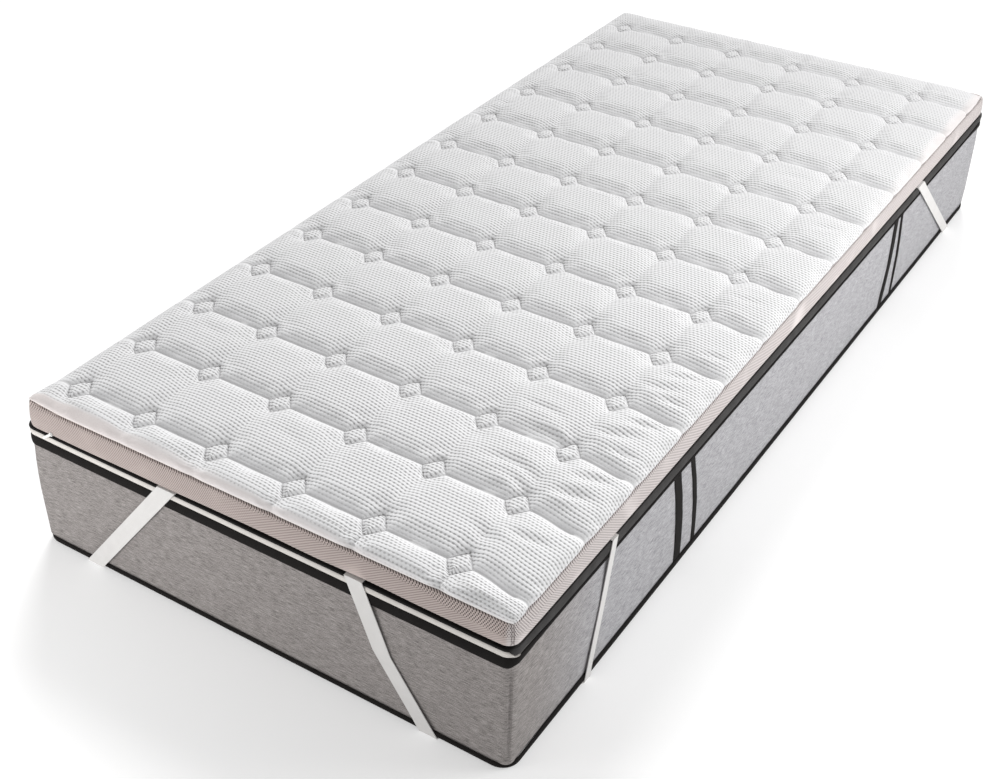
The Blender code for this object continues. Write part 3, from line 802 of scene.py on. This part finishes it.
def lay_out_panel():
    """The panel's cut laid over the filling as a grid whose lines meet every seam.

    Returns the panel and, for each point of it, what the later steps need.
    """
    xs, x_share, x_flat, x_hops = line_places(
        DIAMOND_X, DIAMOND_HALF[0], QUILT_LOW.x, QUILT_HIGH.x, LEFT_EDGE, PANEL_EDGE)
    ys, y_share, y_flat, y_hops = line_places(
        DIAMOND_Y, DIAMOND_HALF[1], QUILT_LOW.y, QUILT_HIGH.y, PANEL_EDGE, HEAD_EDGE)
    columns = len(xs) - 1
    rows = len(ys) - 1
    deselect()
    bpy.ops.mesh.primitive_grid_add(x_subdivisions=columns, y_subdivisions=rows, size=1)
    panel = name_piece("quilted_panel")
    square = read_points(panel)
    i = np.rint((square[:, 0] + 0.5) * columns).astype(int)
    j = np.rint((square[:, 1] + 0.5) * rows).astype(int)
    centre = (QUILT_LOW + QUILT_HIGH) / 2
    half_width = (QUILT_HIGH.x - QUILT_LOW.x) / 2
    half_length = (QUILT_HIGH.y - QUILT_LOW.y) / 2
    share = np.minimum(x_share[i], y_share[j])
    across = offset_from(xs[i], DIAMOND_X)
    along = offset_from(ys[j], DIAMOND_Y)
    foot_pull = np.interp(xs[i], (-0.30, 0.15), (0.25, 1.0))
    beyond = ys[j] < DIAMOND_Y[0]
    height = quilted_height(across, along, foot_pull * beyond)
    inset = np.minimum(xs[i] - QUILT_LOW.x, QUILT_HIGH.y - ys[j])
    shallow = SHALLOW_SHARE * smooth(1 - inset / SHALLOW_REACH)
    height = (height + shallow * (GROOVE_HEIGHT + WALL_HEIGHT - height)) * share
    fall = np.exp(-(np.hypot(QUILT_HIGH.x - xs[i], QUILT_HIGH.y - ys[j]) / CORNER_FALL_REACH) ** 2)
    height *= 1 - CORNER_FALL * fall
    x, y = round_off(xs[i] - centre.x, ys[j] - centre.y, half_width, half_length, PANEL_CORNER)
    rolled = np.sin(math.pi * np.clip(share, 0.0, 1.0)) ** 0.5 + (share == 1.0)
    at_side = rolled * smooth(1 - (half_width - x) / ROLL_REACH)
    at_end = rolled * smooth(1 - (half_length + y) / ROLL_REACH)
    x -= EDGE_NOTCH * at_side * np.exp(-(along / ROW_NOTCH_WIDTH) ** 2)
    end_notch = foot_pull * at_end * np.exp(-(across / VALLEY_NOTCH_WIDTH) ** 2)
    y += EDGE_NOTCH * end_notch
    side_notch = at_side * np.exp(-(along / VALLEY_NOTCH_WIDTH) ** 2)
    height -= VALLEY_NOTCH_DROP * end_notch + ROW_NOTCH_DROP * side_notch
    rise = corner_rise(xs[i], ys[j]) * (1 - share)
    inward = np.clip(np.minimum(half_width - np.abs(x), half_length - np.abs(y)) / 0.04, 0.0, 1.0)
    past_diamonds = smooth((xs[i] - DIAMOND_X[-1] - DIAMOND_HALF[0]) / ROW_BEND_REACH)
    bend = past_diamonds * np.interp(ys[j], ROW_BEND_PLACES, ROW_BEND)
    y += centre.y + ROW_SKEW * x * inward + bend - CORNER_FALL_PULL * fall
    x += centre.x + PANEL_DRAWN_IN * drawn_in(xs[i], ys[j]) - CORNER_FALL_PULL * fall
    z = QUILT_LOW.z + rise + np.maximum(height, GAP)
    write_points(panel, np.stack([x, y, z], axis=1))
    hops = x_hops[i] + y_hops[j]
    in_valley = beyond & (x_hops[i] == 0) & (foot_pull > 0.6)
    sewn = (hops <= DIAMOND_PARTS) | ((y_hops[j] == 0) & (share == 1.0)) | in_valley
    seamed = sewn | (share < EDGE_HELD)
    group = panel.vertex_groups.new(name="sewn")
    group.add([int(index) for index in np.nonzero(seamed)[0]], 1.0, "REPLACE")
    panel.data.uv_layers[0].name = "cut"
    write_map(panel, "seams", np.minimum(np.abs(np.stack([across, along], axis=1)), SEAM_MAP_REACH))
    # plain knit along the foot seam, widest at the left, and along the right one towards the head end
    foot_strip = np.interp(xs[i], (-0.35, 0.0, 0.3), (0.022, 0.014, 0.0))
    at_foot = smooth((foot_strip - (y_flat[j] - QUILT_LOW.y)) / 0.012)
    at_right = smooth((0.022 - (QUILT_HIGH.x - x_flat[i])) / 0.018) * smooth((ys[j] - 0.15) / 0.65)
    beside_row = np.where(hops < DIAMOND_PARTS, 0.0, np.interp(y_hops[j], (0, 1, 2), (1.0, 0.45, 0.0)))
    tinted = np.maximum(at_foot * np.interp(xs[i], (-0.3, 0.4), (1.0, 0.45)), at_right * 0.7)
    plain = np.maximum(np.maximum(at_foot, at_right), beside_row)
    for name, values in (("plain", plain), ("rosy", tinted)):
        layer = panel.data.attributes.new(name, "FLOAT", "POINT")
        layer.data.foreach_set("value", values.astype(np.float32))
    make_seam_edges(panel, x_hops[i], y_hops[j], share, in_valley)
    seam_rows = [int(row) for row in np.nonzero(y_hops == 0)[0]]

    def relay():
        """Lay the knit over the cloth as it now lies."""
        write_map(panel, "cut", follow_cloth(read_points(panel), i, j, y_flat, x_flat, seam_rows))

    return panel, relay


def blow_up(piece, pressure, growth, cap, frames=20):
    """Let the air pressure of the filling round the cloth out between its seams."""
    before = read_points(piece)
    modifier = piece.modifiers.new("filling", "CLOTH")
    cloth = modifier.settings
    cloth.quality = 5
    cloth.mass = 0.2
    cloth.tension_stiffness = 20
    cloth.compression_stiffness = 20
    cloth.shear_stiffness = 8
    cloth.bending_stiffness = 0.5
    cloth.tension_damping = 10
    cloth.compression_damping = 10
    cloth.shear_damping = 8
    cloth.bending_damping = 1
    cloth.air_damping = 2
    cloth.use_pressure = True
    cloth.uniform_pressure_force = pressure
    cloth.shrink_min = -growth
    cloth.vertex_group_mass = "sewn"
    cloth.effector_weights.gravity = 0
    modifier.collision_settings.use_collision = False
    modifier.point_cache.frame_start = 1
    modifier.point_cache.frame_end = frames
    bpy.context.scene.frame_start = 1
    bpy.context.scene.frame_end = frames
    for frame_number in range(1, frames + 1):
        bpy.context.scene.frame_set(frame_number)
    select_only(piece)
    bpy.ops.object.modifier_apply(modifier=modifier.name)
    bpy.context.scene.frame_set(1)
    moved = read_points(piece) - before
    length = np.linalg.norm(moved, axis=1, keepdims=True)
    write_points(piece, before + moved * np.minimum(1.0, cap / np.maximum(length, 1e-9)))


def press_creases(piece):
    """Press soft creases into the panel, one by one: each is a trough with a low ridge on either side."""
    points = read_points(piece)
    top = points[:, 2] > QUILT_LOW.z + GROOVE_HEIGHT
    for x, y, half, turn, width, depth in CREASES:
        angle = math.radians(turn)
        across = points[:, 0] - x
        along = points[:, 1] - y
        run = across * math.cos(angle) + along * math.sin(angle)
        off = along * math.cos(angle) - across * math.sin(angle) + 0.004 * np.sin(run * 60 + x * 40)
        fade = smooth(1 - np.abs(run) / half)
        trough = np.exp(-(off / width) ** 2) - 0.45 * np.exp(-((np.abs(off) - 1.9 * width) / width) ** 2)
        points[:, 2] -= np.where(top, depth * fade * trough, 0.0)
    write_points(piece, points)


def make_quilted_panel(knit):
    panel, relay = lay_out_panel()
    blow_up(panel, pressure=4.0, growth=0.015, cap=0.006)
    relay()
    panel.modifiers.new("fine", "SUBSURF")
    panel.modifiers["fine"].levels = 1
    panel.modifiers["fine"].render_levels = 1
    panel.modifiers["fine"].boundary_smooth = "ALL"
    panel.modifiers["fine"].uv_smooth = "NONE"
    finish_modifiers(panel)
    press_creases(panel)
    bpy.ops.object.mode_set(mode="EDIT")
    bpy.ops.mesh.select_all(action="DESELECT")
    bpy.ops.mesh.select_mode(type="EDGE")
    bpy.ops.mesh.select_non_manifold()
    bpy.ops.mesh.edge_face_add()
    bpy.ops.mesh.select_all(action="SELECT")
    bpy.ops.mesh.normals_make_consistent(inside=False)
    bpy.ops.object.mode_set(mode="OBJECT")
    shade(panel, 60)
    dress(panel, knit, "white_knit", "quilt_top")
    return panel


# ---------------------------------------------------------------- the topper's mesh side

def make_mesh_side(mesh):
    """The slab under the panel, whose sides are a strip of mesh cloth sewn at both edges."""
    side = rounded_block("mesh_side", SIDE_LOW, SIDE_HIGH, SIDE_CORNER, 6)
    height = SIDE_HIGH.z - SIDE_LOW.z
    cut_across([SIDE_LOW.z + height * part for part in SIDE_ROWS], 2)
    cut_across(np.linspace(SIDE_LOW.x, SIDE_HIGH.x, 38)[2:-2], 0)
    cut_across(np.linspace(SIDE_LOW.y, SIDE_HIGH.y, 84)[2:-2], 1)
    bpy.ops.object.mode_set(mode="OBJECT")
    points = read_points(side)
    centre = np.array((SIDE_LOW + SIDE_HIGH) / 2)
    offset = points - centre
    half = np.array((SIDE_HIGH - SIDE_LOW) / 2)
    level = (points[:, 2] - SIDE_LOW.z) / height
    # the lower seam hangs over the mattress's edge at the left of the foot end, and draws back at the right
    drawn_back = np.interp(points[:, 0], (-0.35, 0.25), (0.15, 1.0))
    drawn_back = np.where(points[:, 1] < 0, drawn_back, 1.0)
    long_inset = np.interp(level, SIDE_LEVELS, LONG_INSET)
    end_inset = np.interp(level, SIDE_LEVELS, END_INSET_ABOVE)
    end_inset += drawn_back * np.interp(level, SIDE_LEVELS, END_INSET_BELOW)
    rim = np.minimum(half[0] - np.abs(offset[:, 0]), half[1] - np.abs(offset[:, 1])) < SIDE_CORNER + 0.001
    uneven = wander(points * (1, 1, 2.5), 0.09, 1) * UNEVEN * np.sin(math.pi * level)
    pucker = wander(points * (1, 1, 0.5), 0.016, 2) * UNEVEN * np.exp(-((1 - level) / 0.12) ** 2)
    x_scale = 1 - (long_inset + uneven + pucker) / half[0]
    y_scale = 1 - (end_inset + uneven + pucker) / half[1]
    points[:, 0] = np.where(rim, centre[0] + offset[:, 0] * x_scale, points[:, 0])
    points[:, 1] = np.where(rim, centre[1] + offset[:, 1] * y_scale, points[:, 1])
    lift = np.clip(wander(points * (1, 1, 0), 0.11, 6) + 0.15, 0.0, 1.0) * LOWER_SEAM_LIFT
    lift = lift * drawn_back - LOWER_SEAM_HANG * (1 - drawn_back)
    points[:, 2] += lift * (1 - level) ** 3 * (points[:, 1] < SIDE_LOW.y + 0.03)
    points[:, 2] += corner_rise(points[:, 0], points[:, 1]) * level ** 2
    points[:, 0] += SIDE_DRAWN_IN * drawn_in(points[:, 0], points[:, 1])
    write_points(side, points)
    side.modifiers.new("fine", "SUBSURF")
    side.modifiers["fine"].levels = 1
    side.modifiers["fine"].render_levels = 1
    finish_modifiers(side)
    shade(side, 50)
    dress(side, mesh, "spacer_mesh", "topper_border")
    return side


# ---------------------------------------------------------------- the mattress

def strap_lines_below(points):
    """How near each point of the underside is to a strap that runs under a corner."""
    near = np.full(len(points), 1.0)
    for _, side, end, _, _, end_place, _, _, side_place, _ in STRAPS:
        first = np.array((side * end_place, end * HALF_LENGTH))
        last = np.array((side * HALF_WIDTH, end * side_place))
        run = last - first
        part = np.clip(((points[:, :2] - first) @ run) / (run @ run), 0.0, 1.0)
        near = np.minimum(near, np.linalg.norm(points[:, :2] - first - part[:, None] * run, axis=1))
    return near


def make_mattress_cover(weave):
    """The mattress's woven cover: slightly bulging sides, creased corner seams and a soft flat top."""
    cover = rounded_block("mattress_cover", BODY_LOW, BODY_HIGH, COVER_CORNER, 6)
    cut_across(COVER_ROWS, 2)
    near_corner = np.array((0.020, 0.024, 0.028, 0.033, 0.039, 0.047))
    half = np.array((BODY_HIGH - BODY_LOW) / 2)
    for axis, steps in ((0, 36), (1, 86)):
        places = np.linspace(-half[axis] + 0.06, half[axis] - 0.06, steps)
        fine = half[axis] - near_corner
        cut_across([*-fine, *places, *fine], axis)
    bpy.ops.object.mode_set(mode="OBJECT")
    points = read_points(cover)
    reach = np.minimum(half[0] - np.abs(points[:, 0]), half[1] - np.abs(points[:, 1]))
    on_side = reach < COVER_CORNER + 0.0005
    z = points[:, 2].copy()
    inset = np.interp(z, COVER_HEIGHTS, COVER_INSET)
    uneven = wander(points * (1, 1, 1.4), 0.16, 3) * 0.0016 + wander(points * (1, 1, 3.0), 0.05, 4) * 0.0005
    fade = smooth((z - 0.012) / 0.05) * smooth((0.2 - z) / 0.05)
    # a seam runs down each corner, with a slack fold or two beside it on the end faces
    corner_x = half[0] - np.abs(points[:, 0])
    corner_y = half[1] - np.abs(points[:, 1])
    held = smooth((z - 0.012) / 0.02) * smooth((0.198 - z) / 0.02)
    seam = np.exp(-((corner_x - corner_y) / 0.003) ** 2) * (np.maximum(corner_x, corner_y) < COVER_CORNER)
    fold_place = 0.026 + 0.004 * np.sin(z * 31 + np.sign(points[:, 0]))
    fold = np.exp(-((corner_x - fold_place) / 0.0045) ** 2) * (corner_y < 0.001)
    drawn = inset + uneven * fade + CORNER_FOLD_HEIGHT * fold * held * smooth((0.15 - z) / 0.08)
    points[:, 0] *= np.where(on_side, 1 - drawn / half[0], 1.0)
    points[:, 1] *= np.where(on_side, 1 - drawn / half[1], 1.0)
    pull = CORNER_SEAM_DEPTH * seam * held
    points[:, 0] -= np.sign(points[:, 0]) * pull
    points[:, 1] -= np.sign(points[:, 1]) * pull
    crown = smooth(reach / 0.085)
    top = BODY_HIGH.z - COVER_CROWN * (1 - crown)
    points[:, 2] = np.where(z > BODY_HIGH.z - 0.0005, top, points[:, 2])
    dent = STRAP_DENT * np.exp(-(strap_lines_below(points) / STRAP_DENT_REACH) ** 4)
    points[:, 2] = np.where(z < 0.0005, dent, points[:, 2])
    write_points(cover, points)
    shade(cover, 40)
    dress(cover, weave, "grey_melange", "mattress_body")
    return cover


def sewn_strip(name, end_heights, side_heights, rows, proud, corner=TAPE_CORNER, run_out=0.09, fold=0.0):
    """A strip of cloth sewn round the mattress.

    Its lower and upper heights on the end faces change to those on the long sides in the later half
    of each corner and in a run along the side. It stands proud by a half-round profile. A strip with
    a fold turns inwards at its top and lies that far over the mattress.
    """
    reach_x = HALF_WIDTH - proud
    reach_y = HALF_LENGTH - proud
    low = (-reach_x, -reach_y, 0.0)
    high = (reach_x, reach_y, 1.0)
    strip = rounded_block(name, low, high, corner, 8)
    select_faces(strip, lambda middle, normal: abs(normal.z) > 0.9)
    bpy.ops.mesh.delete(type="ONLY_FACE")
    all_rows = rows + (FOLD_ROWS if fold else 0)
    cut_across([row / all_rows for row in range(1, all_rows)], 2)
    cut_across(np.linspace(-reach_x, reach_x, 26)[1:-1], 0)
    cut_across(np.linspace(-reach_y, reach_y, 58)[1:-1], 1)
    bpy.ops.object.mode_set(mode="OBJECT")
    points = read_points(strip)
    along_side = np.abs(points[:, 0]) > reach_x - 1e-4
    turned = np.clip((np.abs(points[:, 0]) - (reach_x - corner)) / corner, 0.0, 1.0)
    run = np.clip((reach_y - corner - np.abs(points[:, 1])) / run_out, 0.0, 1.0)
    on_side = CORNER_PART + (1 - CORNER_PART) * smooth(run)
    share = np.where(along_side, on_side, CORNER_PART * smooth(turned * 2 - 1))
    row = points[:, 2] * all_rows
    level = np.minimum(row / rows, 1.0)
    folded = np.clip((row - rows) / FOLD_ROWS, 0.0, 1.0)
    bottom = end_heights[0] + share * (side_heights[0] - end_heights[0])
    top = end_heights[1] + share * (side_heights[1] - end_heights[1])
    wave = wander(points * (1, 1, 0), 0.07, len(name)) * 0.0005
    bulge = proud * (1 - np.abs(2 * level - 1) ** 3)
    outward = np.stack([points[:, 0] / reach_x, points[:, 1] / reach_y], axis=1)
    outward *= np.abs(outward) > 0.95
    outward /= np.maximum(np.linalg.norm(outward, axis=1, keepdims=True), 1e-6)
    points[:, :2] += outward * (bulge - fold * folded)[:, None]
    points[:, 2] = bottom + level * (top - bottom) + wave * (1 - folded)
    write_points(strip, points)
    return strip, share


def close_strip(strip, thickness, degrees=50):
    wall = strip.modifiers.new("wall", "SOLIDIFY")
    wall.thickness = thickness
    wall.offset = -1.0
    finish_modifiers(strip)
    shade(strip, degrees)


def make_tapes(black, satin):
    # Columns: name, heights on the ends, heights on the long sides, rows, corner, fold, cloth, node
    tapes = (
        ("top_binding", (0.228, 0.233), (0.2136, 0.233), 5, TAPE_CORNER, 0.014, satin, "mattress_top_tape"),
        ("shadow_band", (0.1982, 0.2168), (0.206, 0.213), 5, TAPE_CORNER, 0.0, black, "mattress_band"),
        ("bottom_binding", (0.0020, 0.0116), (0.0015, 0.0148), 4, 0.028, 0.0, black, "mattress_bottom_tape"),
    )
    for name, end_heights, side_heights, rows, corner, fold, cloth, node in tapes:
        tape, _ = sewn_strip(name, end_heights, side_heights, rows, TAPE_THICKNESS, corner, fold=fold)
        close_strip(tape, TAPE_THICKNESS)
        dress(tape, cloth, "black_tape", node)


def make_piping(light):
    """Light piping across both end faces, running out in a tip just round each corner."""
    end_middle = sum(PIPING_ENDS) / 2
    side_middle = sum(PIPING_SIDES) / 2
    for name, end in (("piping_foot", -1), ("piping_head", 1)):
        piping, share = sewn_strip(name, PIPING_ENDS, PIPING_SIDES, 8, 0.0018)
        points = read_points(piping)
        middle = end_middle + share * (side_middle - end_middle)
        taper = np.clip(1 - share / CORNER_PART, 0.06, 1.0)
        points[:, 2] = middle + (points[:, 2] - middle) * taper
        write_points(piping, points)
        select_only(piping)
        bpy.ops.object.mode_set(mode="EDIT")
        select_faces(piping, lambda centre, normal: centre.y * end < HALF_LENGTH - 0.0175)
        bpy.ops.mesh.delete(type="FACE")
        bpy.ops.object.mode_set(mode="OBJECT")
        close_strip(piping, 0.0010)
        dress(piping, light, "light_piping", "mattress_piping_foot" if end < 0 else "mattress_piping_head")


def make_trims(black):
    """Vertical tapes on the long sides, slightly bowed and uneven."""
    for side, label in ((1, "right"), (-1, "left")):
        for name, width, top, bottom, bow in TRIM_TAPES:
            deselect()
            bpy.ops.mesh.primitive_grid_add(x_subdivisions=6, y_subdivisions=30, size=1)
            trim = name_piece(f"trim_tape_{label}_{name}")
            points = read_points(trim)
            across = points[:, 0]
            rise = points[:, 1] + 0.5
            z = HEM_HIGH.z + GAP + rise * (TRIM_TOP - HEM_HIGH.z)
            y = bottom + rise * (top - bottom) + bow * np.sin(math.pi * rise) + across * width
            inset = np.interp(z, (0.0118, 0.06, 0.11, 0.155, 0.193), (0.0033, 0.0022, 0.0016, 0.0022, 0.0033))
            edge = 0.0003 * (1 - np.abs(2 * across) ** 4)
            x = side * (HALF_WIDTH - inset + GAP + TRIM_THICKNESS + edge)
            y += wander(np.stack([x, np.zeros_like(z), z], axis=1), 0.03, 5) * 0.0006
            write_points(trim, np.stack([x, y, z], axis=1))
            if side < 0:
                bpy.ops.object.mode_set(mode="EDIT")
                bpy.ops.mesh.select_all(action="SELECT")
                bpy.ops.mesh.flip_normals()
                bpy.ops.object.mode_set(mode="OBJECT")
            close_strip(trim, TRIM_THICKNESS)
            dress(trim, black, "black_tape", f"trim_{label}_{name}")


# ---------------------------------------------------------------- straps and zip pull

def strap_route(row):
    """Lines across a strap from its seam at the end face, under the corner, to its seam at the long side.

    Each is a place, the way across the strap times half its width, and the way out.
    """
    _, side, end, *places, side_width = row
    lift = GAP + STRAP_THICKNESS / 2
    face_x = HALF_WIDTH + lift
    face_y = HALF_LENGTH + lift
    floor = STRAP_FLOOR_CLEARANCE + STRAP_THICKNESS / 2
    heights = (STRAP_SEWN_HEIGHT, BODY_HIGH.z / 2, floor)

    def down(three, width, to_point, out):
        lines = []
        for step in range(STRAP_STEPS + 1):
            part = step / STRAP_STEPS
            height = heights[0] + (heights[2] - heights[0]) * part
            place = float(np.interp(height, heights[::-1], three[::-1]))
            slope = (three[2] - three[0]) / (heights[0] - heights[2])
            half = width / 2 * math.hypot(1, slope)
            lines.append([to_point(place - half, height), to_point(place + half, height), out])
        return lines

    def on_end(place, height):
        return (side * place, end * face_y, height)

    def on_side(place, height):
        return (side * face_x, end * place, height)

    first = down(places[:3], STRAP_END_WIDTH, on_end, (0, end, 0))
    last = down(places[3:], side_width, on_side, (side, 0, 0))[::-1]
    hidden_end = [(x, end * (HALF_LENGTH - STRAP_SEWN_END), z) for x, _, z in first[0][:2]] + [(0, 0, 1)]
    hidden_side = [(side * (HALF_WIDTH - STRAP_SEWN_END), y, z) for _, y, z in last[-1][:2]] + [(0, 0, 1)]
    return [hidden_end, *first, *last, hidden_side]


def make_straps(elastic):
    """Flat woven elastic with a thin, slightly raised selvedge at both edges."""
    for row in STRAPS:
        lines = strap_route(row)
        deselect()
        bpy.ops.mesh.primitive_grid_add(x_subdivisions=10, y_subdivisions=len(lines) - 1, size=1)
        strap = name_piece(f"elastic_{row[0]}")
        square = read_points(strap)
        across = square[:, 0] + 0.5
        index = np.rint((square[:, 1] + 0.5) * (len(lines) - 1)).astype(int)
        left = np.array([line[0] for line in lines])[index]
        right = np.array([line[1] for line in lines])[index]
        out = np.array([line[2] for line in lines], float)[index]
        selvedge = 0.00022 * (np.abs(square[:, 0]) > 0.38)
        points = left + across[:, None] * (right - left) + out * selvedge[:, None]
        write_points(strap, points)
        wall = strap.modifiers.new("wall", "SOLIDIFY")
        wall.thickness = STRAP_THICKNESS
        wall.offset = 0.0
        wall.use_even_offset = True
        finish_modifiers(strap)
        points = read_points(strap)
        points[:, 2] = np.maximum(points[:, 2], STRAP_FLOOR_CLEARANCE)
        write_points(strap, points)
        bpy.ops.object.mode_set(mode="EDIT")
        bpy.ops.mesh.select_all(action="SELECT")
        bpy.ops.mesh.normals_make_consistent(inside=False)
        bpy.ops.object.mode_set(mode="OBJECT")
        shade(strap, 40)
        dress(strap, elastic, "white_elastic", f"strap_{row[0]}")


def make_zip_pull(nylon):
    """The pull of the cover's zip: a small flat tab with round ends, hung by an eye from the slider."""
    low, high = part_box("zip_pull")
    middle = (low + high) / 2
    thick = high.y - low.y
    angle = math.atan2(ZIP_PULL_SIZE[1], ZIP_PULL_SIZE[0])
    deselect()
    bpy.ops.mesh.primitive_cube_add(size=1, location=middle)
    pull = name_piece("zip_tab")
    pull.scale = (math.hypot(*ZIP_PULL_SIZE), thick, ZIP_TAB_WIDTH)
    pull.rotation_euler = (0, -angle, 0)
    apply_place(pull)
    bpy.ops.object.mode_set(mode="EDIT")
    select_edges(pull, lambda a, b: abs(a.x - b.x) + abs(a.z - b.z) < 1e-5)
    bpy.ops.mesh.bevel(offset=ZIP_TAB_WIDTH * 0.46, segments=5, profile=0.5, affect="EDGES")
    bpy.ops.object.mode_set(mode="OBJECT")
    soft = pull.modifiers.new("soft", "BEVEL")
    soft.width = 0.0003
    soft.segments = 2
    soft.limit_method = "ANGLE"
    finish_modifiers(pull)
    shade(pull, 40)
    dress(pull, nylon, "white_plastic", "zip_pull")
    top = middle + Vector((ZIP_PULL_SIZE[0] / 2, 0, ZIP_PULL_SIZE[1] / 2))
    deselect()
    bpy.ops.mesh.primitive_torus_add(major_segments=24, minor_segments=8, location=top,
                                     rotation=(math.pi / 2, 0, 0), major_radius=0.0030, minor_radius=0.0008)
    eye = name_piece("zip_eye")
    apply_place(eye)
    shade(eye, 60)
    dress(eye, nylon, "white_plastic", "zip_pull")


# ---------------------------------------------------------------- studio

def make_studio():
    deselect()
    bpy.ops.mesh.primitive_plane_add(size=60, location=(0, 0, 0))
    floor = name_piece("studio_floor")
    apply_place(floor)
    floor.data.materials.append(studio_floor())

    world = bpy.data.worlds.new("studio")
    bpy.context.scene.world = world
    world.use_nodes = True
    world.node_tree.nodes["Background"].inputs["Color"].default_value = (1, 1, 1, 1)
    world.node_tree.nodes["Background"].inputs["Strength"].default_value = 0.47

    sun = bpy.data.lights.new("window", "SUN")
    sun.energy = 2.4
    sun.angle = math.radians(24)
    window = bpy.data.objects.new("window", sun)
    bpy.context.scene.collection.objects.link(window)
    window.rotation_euler = Vector(WINDOW_DIRECTION).to_track_quat("-Z", "Y").to_euler()

    # Columns: name, place, size, power, where it points
    lamps = (
        ("side_fill", (1.9, 0.35, 1.1), 1.2, 25, (0.45, 0.30, 0.1)),
        ("end_fill", (-0.52, -1.9, 0.28), 0.5, 5.3, (-0.25, -1.0, 0.1)),
    )
    for name, place, size, power, aim in lamps:
        light = bpy.data.lights.new(name, "AREA")
        light.energy = power
        light.size = size
        lamp = bpy.data.objects.new(name, light)
        bpy.context.scene.collection.objects.link(lamp)
        lamp.location = place
        lamp.rotation_euler = (Vector(aim) - Vector(place)).to_track_quat("-Z", "Y").to_euler()

    camera = bpy.data.objects.new("camera", bpy.data.cameras.new("camera"))
    bpy.context.scene.collection.objects.link(camera)
    camera.location = CAMERA_PLACE
    camera.rotation_euler = [math.radians(angle) for angle in CAMERA_TURN]
    camera.data.sensor_width = 36
    camera.data.lens = CAMERA_LENS
    camera.data.shift_x, camera.data.shift_y = CAMERA_SHIFT
    bpy.context.scene.camera = camera
    bpy.context.scene.view_settings.view_transform = "Standard"


def main():
    black = woven_tape("black_binding_tape", "100E0D", "1E1B1A", 0.0016, 0.85, 0.0, 0.12)
    # The satin tape's paler colours on the long sides are painted light
    satin = woven_tape("black_satin_tape", "0B0A09", "141211", 0.0016, 0.7, 0.0, 0.15, ("222120", "454343"))
    make_quilted_panel(white_double_knit())
    make_mesh_side(spacer_mesh())
    make_mattress_cover(grey_melange())
    make_tapes(black, satin)
    make_piping(woven_tape("light_ribbed_piping", "C4BFBA", "DCD7D2", 0.0022, 0.7, 0.1))
    make_trims(black)
    make_straps(woven_tape("white_elastic_webbing", "CFCDCB", "DAD8D6", 0.0018, 0.8, 0.1))
    make_zip_pull(moulded_nylon())
    make_studio()


main()
